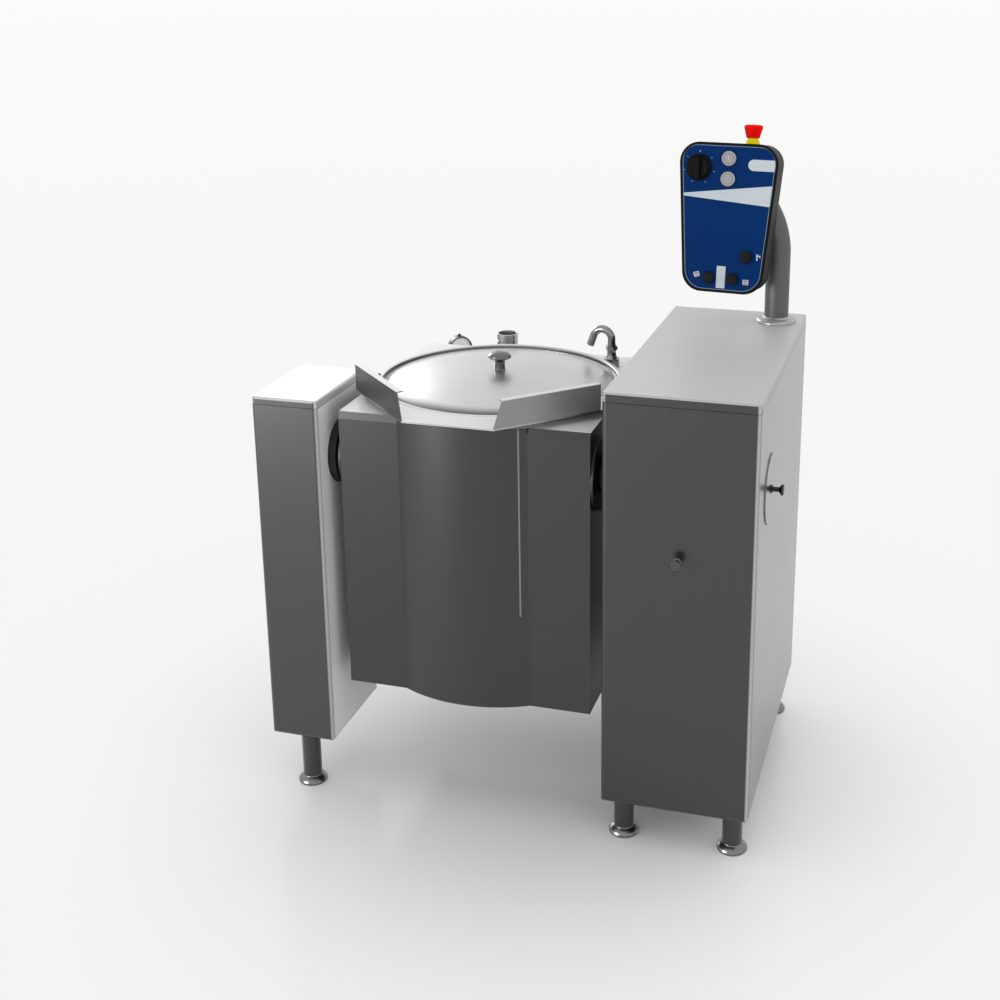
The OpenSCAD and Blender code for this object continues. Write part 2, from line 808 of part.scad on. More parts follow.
// Switch bodies clamped behind the fascia, with bores for the button stems
module contact_blocks() {
    w = 28;
    deep = 40;
    bore = 26;
    color([0.15, 0.15, 0.16]) on_panel() for (c = control_holes) translate([c[0][0], c[0][1], 0])
        difference() {
        translate([-w / 2, -w / 2, -deep]) cube([w, w, deep + face_z - fascia_t]);
        translate([0, 0, -bore]) cylinder(h = bore + 4, r = c[1]);
    }
}

stop_collar_h = 13;
stop_neck_r = 11;

// Places the stop button's axis along the panel's upper edge, pointing up the panel
module on_stop_axis() {
    on_panel() translate([stop_u, panel_h / 2 - 2, -panel_depth / 2]) rotate([-90, 0, 0]) children();
}

// Stop button: a red flared head whose skirt slides down over the collar's neck
module stop_button() {
    low = stop_collar_h + seat_gap;
    skirt = stop_travel + 1;
    top = 26;
    color("red") on_stop_axis() translate([0, 0, low]) rotate_extrude() polygon([
        [stop_neck_r + slide_gap, 0], [stop_d * 0.35, 0], [stop_d / 2, top - 6], [stop_d / 2, top - 4],
        [stop_d / 2 - 1, top - 2], [stop_d / 2 - 4, top - 0.5], [0, top],
        [0, -low - 30], [stem_r, -low - 30], [stem_r, skirt], [stop_neck_r + slide_gap, skirt]
    ]);
}

module stop_collar() {
    top = stop_collar_h - seat_gap;
    shoulder = top - stop_travel - seat_gap;
    foot_r = 13.8;
    ring = 0.6;
    color("yellow") on_stop_axis() translate([0, 0, seat_gap]) rotate_extrude() polygon([
        [stem_r + slide_gap, 0], [foot_r, 0], [foot_r, 2.5], [foot_r - ring, 3], [foot_r - ring, 4.5],
        [foot_r - 2 * ring, 5], [foot_r - 2 * ring, shoulder], [stop_neck_r, shoulder],
        [stop_neck_r, top], [stem_r + slide_gap, top]
    ]);
}

// Plan outline of the kettle's casing: a box with a round belly, drawn in by inset
module casing_plan(inset) {
    translate([casing_x0 + inset, front_step + inset])
        square([casing_w - 2 * inset, casing_d - front_step - 2 * inset]);
    intersection() {
        translate([kettle_x, kettle_y]) circle(belly_r - inset, $fn = 180);
        translate([casing_x0 + inset, -1]) square([casing_w - 2 * inset, kettle_y]);
    }
}

belly_half = sqrt(pow(belly_r, 2) - pow(belly_r - front_step, 2));
lap_h = 12;
lap_inset = 3.5;
shell_in = lap_inset + casing_t;
casing_shell_top = deck_z - deck_skirt;

// Casing: the folded sheet round the kettle, with a joggled lap strip that the deck's edge sits round
module casing() {
    color("silver") difference() {
        union() {
            translate([0, 0, casing_base]) linear_extrude(casing_shell_top - casing_base) casing_plan(0);
            translate([0, 0, casing_base]) linear_extrude(casing_shell_top + 4 - casing_base)
                casing_plan(lap_inset);
            belly_top();
        }
        translate([0, 0, casing_base - 1]) linear_extrude(deck_z) casing_plan(shell_in);
        translate([0, 0, casing_base - 1]) linear_extrude(casing_shell_top - lap_h - casing_base)
            casing_plan(casing_t);
        for (x = [casing_x0 - 1, casing_x1 - shell_in - 1]) on_tilt_axis(x)
            cylinder(h = shell_in + 2, r = trunnion_d / 2 - 6);
    }
}

// The belly's sheet runs on up to the deck
module belly_top() {
    intersection() {
        translate([0, 0, casing_shell_top - eps]) linear_extrude(deck_skirt - casing_t - 0.1)
            casing_plan(0);
        translate([kettle_x - belly_half, -1, 0]) cube([2 * belly_half, front_step + 1, deck_z]);
    }
}

// Top deck: a plate with a bevelled front edge on the flats, folded sides and a round opening for the rim
module deck() {
    flat_y = front_step + deck_bevel;
    z0 = casing_shell_top + 0.1;
    flat_w = casing_w / 2 - belly_half;
    deck_lap = 6;
    color("silver") difference() {
        union() {
            translate([0, 0, deck_z - casing_t]) linear_extrude(casing_t) {
                translate([casing_x0, flat_y]) square([casing_w, casing_d - flat_y]);
                intersection() {
                    translate([kettle_x, kettle_y]) circle(belly_r, $fn = 180);
                    translate([kettle_x - belly_half, -1]) square([2 * belly_half, kettle_y]);
                }
            }
            translate([0, 0, z0]) linear_extrude(deck_z - z0 - eps) difference() {
                translate([casing_x0, flat_y]) square([casing_w, casing_d - flat_y]);
                translate([casing_x0 + casing_t, flat_y - 1])
                    square([casing_w - 2 * casing_t, casing_d - flat_y + 1 - casing_t]);
            }
            for (x = [casing_x0, casing_x1 - flat_w]) translate([x, 0, 0]) rotate([90, 0, 90])
                linear_extrude(flat_w) polygon([
                    [front_step, z0], [flat_y, deck_z], [flat_y + 1, deck_z],
                    [flat_y + 1, deck_z - casing_t],
                    [front_step + casing_t, z0]
                ]);
        }
        translate([kettle_x, kettle_y, deck_z - 2 * casing_t])
            cylinder(h = 4 * casing_t, r = rim_r - deck_lap);
    }
}

drain_back = 60;
drain_r = 9;
drain_hole_r = 16;

module casing_floor() {
    color("silver") difference() {
        translate([0, 0, casing_base + casing_t]) linear_extrude(casing_t) casing_plan(casing_t + seat_gap);
        translate([kettle_x, kettle_y + drain_back, casing_base - 1])
            cylinder(h = 3 * casing_t + 1, r = drain_hole_r);
    }
}

jacket_r = vessel_r + vessel_t + steam_gap + jacket_t;
frame_t = vessel_room - casing_t - vessel_t - steam_gap - jacket_t - 2 * seat_gap;
vessel_base = rim_z - seat_drop - vessel_depth;
dish_rim_z = vessel_base + dish_h;

// Half profile of a dished pan: straight wall from z_top, then an elliptical bottom down to z_base
function pan_side(r, z_top, z_rim, z_base, steps) = concat(
    [[r, z_top]],
    [for (i = [0:steps]) [r * cos(90 * i / steps), z_rim - (z_rim - z_base) * sin(90 * i / steps)]]
);

function reversed(v) = [for (i = [len(v) - 1:-1:0]) v[i]];

module pan(r, t, z_top, z_rim, z_base) {
    translate([kettle_x, kettle_y, 0]) rotate_extrude($fn = 120) polygon(concat(
        pan_side(r, z_top, z_rim, z_base, 14),
        reversed(pan_side(r + t, z_top, z_rim, z_base - t, 14))
    ));
}

module inner_vessel() {
    color("silver") pan(vessel_r, vessel_t, rim_z - seat_drop, dish_rim_z, vessel_base);
}

jacket_drop = 110;

module steam_jacket() {
    jacket_in = vessel_r + vessel_t + steam_gap;
    top = rim_z - seat_drop - jacket_drop;
    color("gray") translate([kettle_x, kettle_y, 0]) difference() {
        union() {
            translate([-kettle_x, -kettle_y, 0])
                pan(jacket_in, jacket_t, top, dish_rim_z, vessel_base - 44);
            translate([0, 0, top - eps]) tube(jacket_r, vessel_r + vessel_t + seat_gap / 2, 3);
        }
        translate([0, drain_back, casing_base]) cylinder(h = vessel_base - casing_base, r = drain_r);
        translate([-kettle_x, -kettle_y, 0]) at_rods() for (s = [-1, 1])
            translate([s * rod_bend_r, -rod_span / 2 + rod_r, -rod_tail - 10])
                cylinder(h = rod_tail, r = rod_r + 0.05);
    }
}

rod_r = 4;
rod_bend_r = 14;
rod_span = 150;
rod_z = vessel_base - vessel_t - 14;
rod_tail = 40;
rod_pitch = 60;

// Places the heating rods' hairpins side by side under the vessel
module at_rods() {
    translate([kettle_x, kettle_y, rod_z]) for (k = [-1, 0, 1]) translate([k * rod_pitch, 0, 0]) children();
}

// Hairpin heating rods in the jacket's water, under the vessel
module heating_rods() {
    color("dimgray") at_rods() union() {
        for (s = [-1, 1]) translate([s * rod_bend_r, -rod_span / 2, 0]) rotate([-90, 0, 0])
            cylinder(h = rod_span, r = rod_r);
        translate([0, rod_span / 2 - 1, 0]) rotate_extrude(angle = 180) translate([rod_bend_r, 0])
            circle(rod_r + 0.05);
        for (s = [-1, 1]) translate([s * rod_bend_r, -rod_span / 2 + rod_r, -rod_tail])
            cylinder(h = rod_tail, r = rod_r - 0.05);
    }
}

// Stiffening plates between the jacket and the casing's sides, which take the trunnions' bolts
module side_frames() {
    y0 = front_step + 20;
    rear_room = 51.5;
    drop = 90;
    h = 150;
    color("gray") for (x = [casing_x0 + casing_t + 2 * seat_gap, casing_x1 - casing_t - frame_t])
        difference() {
        translate([x, y0, axis_z - drop]) cube([frame_t - seat_gap, casing_d - rear_room - y0, h]);
        on_tilt_axis(x - 1) cylinder(h = frame_t + 2, r = 24);
    }
}

// Folded rim: a flat land, an outer skirt down to the deck and an inner step that seats the lid
module rim_ring() {
    seat_z = rim_z - seat_drop;
    t = lip_t;
    in_r = vessel_r + vessel_t + 0.1;
    land_r = rim_r - rim_land;
    color("silver") translate([kettle_x, kettle_y, 0]) rotate_extrude($fn = 180) polygon([
        [rim_r - t, deck_z], [rim_r, deck_z], [rim_r, rim_z - 1.5], [rim_r - 1.5, rim_z],
        [land_r + 1, rim_z], [land_r, rim_z - 1], [land_r, seat_z], [in_r, seat_z],
        [in_r, seat_z - t], [land_r + t, seat_z - t], [land_r + t, rim_z - t], [rim_r - t, rim_z - t]
    ]);
}

lip_front = -lip_reach;
guard_run = casing_w / 2 - lip_half;
guard_back = lip_front + guard_run;
lip_seam = 0.05;

// Pouring lip: a plate round the rim's front half that runs out to the pouring edge
module pouring_lip() {
    color("silver") difference() {
        translate([kettle_x, 0, rim_z - lip_t]) linear_extrude(lip_t) polygon([
            [-lip_half, lip_front], [lip_half, lip_front], [casing_w / 2, guard_back],
            [casing_w / 2, kettle_y - 60], [-casing_w / 2, kettle_y - 60], [-casing_w / 2, guard_back]
        ]);
        translate([kettle_x, kettle_y, rim_z - 2 * lip_t])
            cylinder(h = 3 * lip_t, r = rim_r + lip_seam, $fn = 180);
    }
}

// Splash guard along a 45 degree edge of the lip: an upright plate, a folded top flange and a short
// end return
module guard() {
    run = guard_run * sqrt(2);
    t = 2;
    z0 = rim_z;
    color("silver") translate([kettle_x + lip_half, lip_front, 0]) rotate(45) union() {
        translate([0, t, z0]) rotate([90, 0, 0]) linear_extrude(t)
            polygon([[0, 0], [run - t, 0], [run - t, guard_h], [guard_lean, guard_h]]);
        translate([guard_lean, 0, z0 + guard_h - t]) cube([run - guard_lean - t, guard_flange, t]);
        translate([run - 2 * t, 0, z0 + guard_h - 16]) cube([t, guard_flange, 16]);
    }
}

module guard_right() {
    guard();
}

module guard_left() {
    translate([2 * kettle_x, 0, 0]) mirror([1, 0, 0]) guard();
}

// Cover strip over the belly sheet's joint
module seam_strip() {
    angle = 25.2;
    strip_w = 3;
    strip_h = 370;
    color("gainsboro") translate([kettle_x, kettle_y, deck_z - strip_h - 1]) rotate(-90 + angle)
        translate([belly_r - 0.2 + seat_gap, -strip_w / 2, 0]) cube([1.2, strip_w, strip_h]);
}

// Service box on the casing's back: it carries the pressure gauge and the safety valve
service_x = casing_x0 + 37;
service_w = 180;
service_d = 76;
service_base = 600;
gauge_z = 796.5;
service_top = gauge_z - gauge_d / 2 - 1;

module service_box() {
    t = 2;
    color("silver") translate([service_x, casing_d + 0.1, service_base]) difference() {
        cube([service_w, service_d, service_top - service_base]);
        translate([t, -1, t]) cube([service_w - 2 * t, service_d + 1 - t,
            service_top - service_base - 2 * t]);
    }
}

valve_gap = 1.5;
valve_aside = 77.25;
valve_at = [kettle_x - valve_aside, casing_d + valve_d / 2 + valve_gap];

// Safety valve: a neck, a round body and a narrower slotted crown, open at its top
module safety_valve() {
    r = valve_d / 2;
    body_z = deck_z - 12;
    crown_z = deck_z + 20;
    crown_r = r - 5;
    crown_h = 10;
    color("silver") translate([valve_at[0], valve_at[1], 0]) difference() {
        rotate_extrude() polygon([
            [0, service_top + 0.1], [14, service_top + 0.1], [14, service_top + 6], [11, service_top + 8],
            [11, body_z],
            [r - 1, body_z], [r, body_z + 1], [r, crown_z - 1], [r - 1, crown_z], [crown_r, crown_z],
            [crown_r, crown_z + crown_h], [crown_r - 3, crown_z + crown_h], [crown_r - 3, crown_z + 2],
            [0, crown_z + 2]
        ]);
        for (a = [0:45:135]) translate([0, 0, crown_z + crown_h - 2]) rotate(a)
            cube([2 * r, 4, 8], center = true);
    }
}

gauge_at = [casing_x0 + 60.5, casing_d + 21];
gauge_case = 26;
gauge_aim = atan2(kettle_y - gauge_at[1], kettle_x - gauge_at[0]);

// Puts +Z along the gauge's line of sight, from the middle of its dial side
module on_gauge() {
    translate([gauge_at[0], gauge_at[1], gauge_z]) rotate([0, 0, gauge_aim + 90]) rotate([90, 0, 0])
        children();
}

// Pressure gauge: a stem on the service box, a round case that faces the kettle's middle, and a
// recessed dial
module pressure_gauge() {
    r = gauge_d / 2;
    dial_z = -8;
    color("silver") on_gauge() union() {
        rotate_extrude() polygon([
            [0, -gauge_case], [r - 2, -gauge_case], [r - 1.5, -gauge_case + 1], [r - 1.5, -7], [r, -6],
            [r, -1],
            [r - 1, 0], [r - 3.5, 0], [r - 4, dial_z], [0, dial_z]
        ]);
        translate([0, r - 2, -gauge_case / 2]) rotate([-90, 0, 0]) cylinder(h = 6, r = 3);
        translate([0, -r - 0.9, -gauge_case / 2]) rotate([-90, 0, 0]) cylinder(h = 6, r = 7);
    }
}

module gauge_pointer() {
    color("black") on_gauge() translate([0, 0, -8 + seat_gap]) rotate(225) union() {
        translate([0, 0, 0.6]) linear_extrude(0.8) polygon([[-5, -1.5], [17, -0.6], [17, 0.6], [-5, 1.5]]);
        cylinder(h = 2.2, r = 2.4);
    }
}

tap_angle = 46.36;
tap_foot_r = 16;
tap_gap = 0.75;
tap_r = rim_r + tap_foot_r + tap_gap;
tap_at = [kettle_x + tap_r * cos(tap_angle), kettle_y + tap_r * sin(tap_angle)];
tap_block_h = 18;
tap_body_h = 44;

// Tap body: a round foot on the deck, a flared neck and a hexagon nut under the spout
module tap_body() {
    color("silver") translate([tap_at[0], tap_at[1], deck_z + 0.05]) union() {
        cylinder(h = tap_block_h, r = tap_foot_r);
        difference() {
            union() {
                rotate_extrude() polygon([
                    [0, tap_block_h - eps], [12, tap_block_h - eps], [9.5, tap_block_h + 8],
                    [9, tap_block_h + 14],
                    [11, tap_block_h + 19], [0, tap_block_h + 19]
                ]);
                translate([0, 0, tap_block_h + 19 - eps])
                    cylinder(h = tap_body_h - tap_block_h - 19, r = 12.5, $fn = 6);
            }
            translate([0, 0, tap_block_h + 10]) cylinder(h = tap_body_h, r = tap_pipe_d / 2);
        }
    }
}

// Swan-neck spout that swivels in the tap body
module tap_spout() {
    rise = 58;
    bend = 160;
    aim = 172;
    tail = 24;
    r = tap_pipe_d / 2;
    z0 = tap_block_h + 11;
    color("silver") translate([tap_at[0], tap_at[1], deck_z]) rotate(aim) difference() {
        bent_rod(r, z0, rise, tap_bend_r, bend, tail);
        bent_rod(r - 1.5, z0 - 1, rise, tap_bend_r, bend, tail + 1);
    }
}

dome_r = (pow(lid_r - 8, 2) + pow(dome_h, 2)) / (2 * dome_h);
lid_z = rim_z - seat_drop + seat_gap;
lid_edge = 3.5;

// Lid: a shallow dome with a rolled edge, and a hole for the knob's screw
function dome_side(r, z, steps) = [for (i = [0:steps])
    let (x = r * i / steps) [x, z + sqrt(pow(dome_r, 2) - pow(x, 2)) - dome_r + dome_h]];

module lid_dome() {
    z0 = lid_z + lid_edge;
    color("gainsboro") translate([kettle_x, kettle_y, 0]) difference() {
        rotate_extrude($fn = 180) polygon(concat(
            reversed(dome_side(lid_r - 8, z0 + lid_t, 16)),
            dome_side(lid_r - 8, z0, 16),
            [[lid_r - 3, z0 - 0.5], [lid_r - 3, lid_z], [lid_r - 0.8, lid_z], [lid_r, lid_z + 1],
                [lid_r, z0 + 0.5], [lid_r - 1.5, z0 + lid_t]]
        ));
        translate([0, 0, lid_z]) cylinder(h = 2 * dome_h, r = 3 + seat_gap);
    }
}

module lid_knob() {
    z0 = lid_z + lid_edge + dome_h + lid_t + 0.1;
    stem = knob_stem_d / 2;
    cap = knob_cap_d / 2;
    color("silver") translate([kettle_x, kettle_y, z0]) rotate_extrude() union() {
        polygon([
            [0, 0], [stem + 1, 0], [stem, 2], [stem - 0.5, knob_h * 0.35], [stem, knob_h * 0.48],
            [stem + 4, knob_h * 0.58],
            [cap - 2, knob_h * 0.66], [cap, knob_h * 0.73], [cap - 1, knob_h * 0.82],
            [cap * 0.72, knob_h * 0.93], [cap * 0.35, knob_h], [0, knob_h]
        ]);
        translate([0, -lid_t - 8]) square([3, lid_t + 8 + eps]);
        translate([0, -lid_t - 6]) square([8, 4]);
    }
}

to_row() control_cabinet();
to_row() cabinet_cap();
to_row() cabinet_floor();
to_row() rear_cover();
to_row() side_cover();
to_row() hanger_peg();
to_row() cabinet_legs();
to_row() cabinet_feet();
to_row() support_column();
to_row() column_cap();
to_row() column_floor();
to_row() column_leg();
to_row() column_foot();
to_row() bearing_left();
to_row() bearing_right();
to_row() trunnion_bushes();
to_row() seal_left();
to_row() seal_right();
to_row() motor_bracket();
to_row() gear_motor();
to_row() electronics_box();
to_row() post();
to_row() post_flange();
to_row() panel_housing();
to_row() panel_rim();
to_row() fascia();
to_row() stop_collar();
to_row() contact_blocks();
to_row() casing();
to_row() deck();
to_row() casing_floor();
to_row() side_frames();
to_row() inner_vessel();
to_row() steam_jacket();
to_row() heating_rods();
to_row() rim_ring();
to_row() pouring_lip();
to_row() guard_left();
to_row() guard_right();
to_row() seam_strip();
to_row() trunnion_left();
to_row() trunnion_right();
to_row() sector_gear();
to_row() service_box();
to_row() safety_valve();
to_row() pressure_gauge();
to_row() gauge_pointer();
to_row() tap_body();
to_row() tap_spout();
to_row() lid_dome();
to_row() lid_knob();
to_row() pinion();
to_row() cover_latch();
to_row() mode_dial();
to_row() on_button();
to_row() off_button();
to_row() water_button();
to_row() tilt_up_button();
to_row() tilt_down_button();
to_row() stop_button();
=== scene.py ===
from math import atan2, cos, pi, radians, sin

import bmesh
import bpy
from mathutils import Matrix, Vector


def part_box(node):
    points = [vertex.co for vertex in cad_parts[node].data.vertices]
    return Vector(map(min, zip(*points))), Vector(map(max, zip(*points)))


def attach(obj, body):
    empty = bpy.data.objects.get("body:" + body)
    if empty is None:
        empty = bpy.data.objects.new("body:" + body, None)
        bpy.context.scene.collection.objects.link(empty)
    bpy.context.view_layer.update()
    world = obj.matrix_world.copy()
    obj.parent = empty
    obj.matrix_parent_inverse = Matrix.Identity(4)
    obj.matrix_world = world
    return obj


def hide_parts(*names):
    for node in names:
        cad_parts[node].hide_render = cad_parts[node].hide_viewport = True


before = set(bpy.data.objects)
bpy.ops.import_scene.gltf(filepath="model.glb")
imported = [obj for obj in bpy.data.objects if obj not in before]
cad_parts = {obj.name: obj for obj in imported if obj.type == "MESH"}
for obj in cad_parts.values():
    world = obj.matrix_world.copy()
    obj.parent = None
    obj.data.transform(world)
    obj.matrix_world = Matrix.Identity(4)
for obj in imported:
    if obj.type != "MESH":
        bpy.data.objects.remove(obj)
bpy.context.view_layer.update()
bpy.context.scene.view_settings.view_transform = "Standard"

# Camera: the cook's side, a little to the right of the kettle and above the panel, looking down.
# The lens and the shift give the photograph's framing.
camera_place = (0.78595, -2.6346, 1.6673)
camera_heading, camera_tilt, camera_roll = radians(16.480), radians(74.023), radians(-0.415)
camera = bpy.data.objects.new("camera", bpy.data.cameras.new("camera"))
bpy.context.scene.collection.objects.link(camera)
bpy.context.scene.camera = camera
camera.data.lens = 52.315
camera.data.shift_x = -0.05
camera.data.shift_y = -0.15
camera.data.clip_end = 100
camera.matrix_world = (
    Matrix.Translation(camera_place)
    @ Matrix.Rotation(camera_heading, 4, "Z")
    @ Matrix.Rotation(camera_tilt, 4, "X")
    @ Matrix.Rotation(camera_roll, 4, "Z")
)


# Studio: a wide pale glossy floor under an even white surround, which light everything alike, and
# two softboxes that only the kettle's steel mirrors: a bright one behind to the left, which whitens
# the column's cap and the lid, and a mild one in front to the left.
class Value:
    """A number that a socket carries, so that shader maths is written as arithmetic."""

    def __init__(self, nodes, socket):
        self.nodes = nodes
        self.socket = socket

    def also(self, name):
        """Another output of the same node."""
        return Value(self.nodes, self.socket.node.outputs[name])

    def maths(self, operation, *values):
        return self.nodes.node("ShaderNodeMath", {"operation": operation}, dict(enumerate(values)))

    def __add__(self, other):
        return self.maths("ADD", self, other)

    def __sub__(self, other):
        return self.maths("SUBTRACT", self, other)

    def __rsub__(self, other):
        return self.maths("SUBTRACT", other, self)

    def __mul__(self, other):
        return self.maths("MULTIPLY", self, other)

    def __truediv__(self, other):
        return self.maths("DIVIDE", self, other)

    def __gt__(self, other):
        return self.maths("GREATER_THAN", self, other)

    def __lt__(self, other):
        return self.maths("LESS_THAN", self, other)

    def __abs__(self):
        return self.maths("ABSOLUTE", self)

    __radd__ = __add__
    __rmul__ = __mul__


class Nodes:
    """The node tree of a world or of a material."""

    def __init__(self, tree):
        self.tree = tree

    def node(self, kind, settings=None, values=None, output=0):
        """Adds a node, makes its settings, then feeds its sockets with values or links."""
        added = self.tree.nodes.new(kind)
        for name, setting in (settings or {}).items():
            setattr(added, name, setting)
        self.feed(added, values or {})
        return Value(self, added.outputs[output])

    def feed(self, node, values):
        for socket, value in values.items():
            if isinstance(value, Value):
                self.tree.links.new(value.socket, node.inputs[socket])
            else:
                node.inputs[socket].default_value = value

    def seen(self):
        """1 for a ray from the camera, a mirror or glass, and 0 for a ray that only lights."""
        path = self.node("ShaderNodeLightPath", output="Is Camera Ray")
        return path + path.also("Is Glossy Ray") + path.also("Is Transmission Ray")

    def rise(self, value, start, full, top=1.0):
        """Goes smoothly from 0 where the value is at start to top where it is at full."""
        return self.node(
            "ShaderNodeMapRange",
            {"interpolation_type": "SMOOTHSTEP"},
            {"Value": value, "From Min": start, "From Max": full, "To Min": 0.0, "To Max": top},
        )

    def length(self, vector):
        return self.node("ShaderNodeVectorMath", {"operation": "LENGTH"}, {0: vector}, "Value")

    def apart(self, vector):
        """The vector's x, beside which its y and z are found."""
        return self.node("ShaderNodeSeparateXYZ", {}, {"Vector": vector}, "X")


class Finish(Nodes):
    """A material with one Principled shader, whose sockets the keyword values feed."""

    def __init__(self, name, **values):
        self.material = bpy.data.materials.new(name)
        self.material.use_nodes = True
        super().__init__(self.material.node_tree)
        self.shader = self.tree.nodes["Principled BSDF"]
        self.set(**values)

    def set(self, **values):
        self.feed(self.shader, {name.replace("_", " "): value for name, value in values.items()})

    def point(self):
        return self.node("ShaderNodeTexCoord", output="Object")

    def mix(self, share, first, second):
        """Goes from the first colour to the second as share goes from 0 to 1."""
        settings = {"data_type": "RGBA"}
        return self.node("ShaderNodeMix", settings, {0: share, 6: first, 7: second}, output=2)

    def noise(self, point, scale, detail=3.0):
        """Noise from 0 to 1; scale is in features per metre along x, y and z."""
        settings = {"vector_type": "POINT"}
        spot = self.node("ShaderNodeMapping", settings, {"Vector": point, "Scale": scale})
        return self.node("ShaderNodeTexNoise", {}, {"Vector": spot, "Scale": 1.0, "Detail": detail})

    def bump(self, height, strength, depth):
        """Small unevenness of the given depth in metres."""
        values = {"Strength": strength, "Distance": depth, "Height": height}
        return self.node("ShaderNodeBump", {}, values, "Normal")


def grey(level):
    return (level, level, level, 1.0)


lighting_strength, seen_strength = 0.95, 0.99
world = bpy.data.worlds.new("surround")
bpy.context.scene.world = world
world.use_nodes = True
surround = Nodes(world.node_tree)
surround.feed(
    world.node_tree.nodes["Background"],
    {
        "Color": grey(1.0),
        "Strength": lighting_strength + surround.seen() * (seen_strength - lighting_strength),
    },
)

floor_half = 40.0
glow_start, glow_full, glow_most = 0.25, 1.0, 0.6
floor_shape = bmesh.new()
bmesh.ops.create_grid(floor_shape, x_segments=1, y_segments=1, size=floor_half)
floor_mesh = bpy.data.meshes.new("floor")
floor_shape.to_mesh(floor_mesh)
floor_shape.free()
floor = bpy.data.objects.new("floor", floor_mesh)
bpy.context.scene.collection.objects.link(floor)
floor_finish = Finish("floor", Base_Color=grey(0.90), Roughness=0.16)
floor_glow = floor_finish.node("ShaderNodeEmission", {}, {"Color": grey(0.96), "Strength": 1.0})
floor_reach = floor_finish.length(floor_finish.point())
glow_share = floor_finish.rise(floor_reach, glow_start, glow_full, glow_most)
floor_mix = floor_finish.node(
    "ShaderNodeMixShader",
    {},
    {
        0: floor_finish.seen() * glow_share,
        1: Value(floor_finish, floor_finish.shader.outputs[0]),
        2: floor_glow,
    },
)
floor_finish.feed(floor_finish.tree.nodes["Material Output"], {"Surface": floor_mix})
floor.data.materials.append(floor_finish.material)

not_the_floor = bpy.data.collections.new("not_the_floor")
not_the_floor.objects.link(floor)
not_the_floor.collection_objects[0].light_linking.link_state = "EXCLUDE"
softboxes = {
    # name: place, point that it faces, width, height, power in watts
    "rear_left": ((-2.9, 2.9, 1.9), (-0.4, 0.0, 0.8), 1.7, 1.7, 80),
    "front_left": ((-2.4, -3.0, 0.9), (-0.4, 0.0, 0.5), 1.6, 1.4, 100),
}
for name, (place, aim, width, height, power) in softboxes.items():
    lamp = bpy.data.objects.new(name, bpy.data.lights.new(name, "AREA"))
    bpy.context.scene.collection.objects.link(lamp)
    lamp.data.shape = "RECTANGLE"
    lamp.data.size = width
    lamp.data.size_y = height
    lamp.data.energy = power
    lamp.location = place
    lamp.rotation_euler = (Vector(aim) - Vector(place)).to_track_quat("-Z", "Y").to_euler()
    lamp.visible_camera = False
    lamp.visible_diffuse = False
    lamp.light_linking.receiver_collection = not_the_floor


# Cabinet and column: shells of stainless sheet, brushed upright, folded round and welded. They
# mirror the pale floor darkly from the front and brightly at a low angle. The folds at their right
# carry a painted highlight, and the column's inner side is painted paler, which is painted light in
# the shade between the column and the kettle.
def dress(finish, *nodes):
    """Gives CAD nodes a finish in all their material slots."""
    for node in nodes:
        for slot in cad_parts[node].material_slots:
            slot.material = finish.material


def streaked(finish, grain, level, streaks):
    """A grey that the grain makes darker and lighter by the share that streaks gives."""
    return finish.mix(grain, grey(level * (1 - streaks)), grey(level * (1 + streaks)))


def brushed(
    name,
    level,
    grain_scale,
    roughness=0.33,
    coat=0.0,
    metallic=1.0,
    painted_light_sides=(),
    painted_light_level=0.5,
    painted_light_metallic=0.45,
    fold_highlight_level=None,
    fold_highlight_side=None,
):
    """Brushed steel; grain_scale is in lines per metre along x, y and z, low along the brushing.
    The faces towards the given sides, each an axis and its direction, are painted paler, which is
    painted light, at their own level and metallic share. The folds between the faces carry a
    painted highlight at its own level, all of them or only the folds that turn towards one side."""
    streaks, painted_light_streaks = 0.07, 0.04
    painted_light_start, painted_light_full = 0.9, 0.99
    fold_start, fold_full = 0.98, 0.86
    fold_side_start, fold_side_full = 0.05, 0.3
    grain_dulling, cloud_dulling, satin_dulling = 0.04, 0.05, 0.15
    finish = Finish(name, Metallic=metallic, Coat_Weight=coat, Coat_Roughness=0.25)
    point = finish.point()
    grain = finish.noise(point, grain_scale)
    cloud = finish.noise(point, (5.0, 5.0, 5.0), detail=2.0)
    colour = streaked(finish, grain, level, streaks)
    towards = finish.apart(finish.node("ShaderNodeTexCoord", output="Normal"))
    # Faces towards the given sides are painted paler: painted light.
    painted_light_share = 0.0
    for axis, direction in painted_light_sides:
        painted_light_share += finish.rise(towards.also(axis) * direction, painted_light_start, painted_light_full)
    if painted_light_sides:
        painted_light_colour = streaked(finish, grain, painted_light_level, painted_light_streaks)
        colour = finish.mix(painted_light_share, colour, painted_light_colour)
    # The folds between the faces get a painted highlight.
    fold_highlight_share = 0.0
    if fold_highlight_level:
        squareness = abs(towards)
        for axis in "YZ":
            squareness = squareness.maths("MAXIMUM", squareness, abs(towards.also(axis)))
        fold_highlight_share = finish.rise(squareness, fold_start, fold_full)
        if fold_highlight_side:
            axis, direction = fold_highlight_side
            side = towards.also(axis) * direction
            fold_highlight_share *= finish.rise(side, fold_side_start, fold_side_full)
        fold_highlight_colour = streaked(finish, grain, fold_highlight_level, painted_light_streaks)
        colour = finish.mix(fold_highlight_share, colour, fold_highlight_colour)
    if painted_light_sides or fold_highlight_level:
        painted_pale_share = painted_light_share + fold_highlight_share
        finish.set(Metallic=metallic - painted_pale_share * (metallic - painted_light_metallic))
        if coat:
            finish.set(Coat_Weight=coat - painted_pale_share * coat)
    finish.set(
        Base_Color=colour,
        Roughness=grain * grain_dulling
        + cloud * cloud_dulling
        + painted_light_share * satin_dulling
        + (roughness - (grain_dulling + cloud_dulling) / 2),
        Normal=finish.bump(grain, 0.05, 0.0002),
    )
    return finish


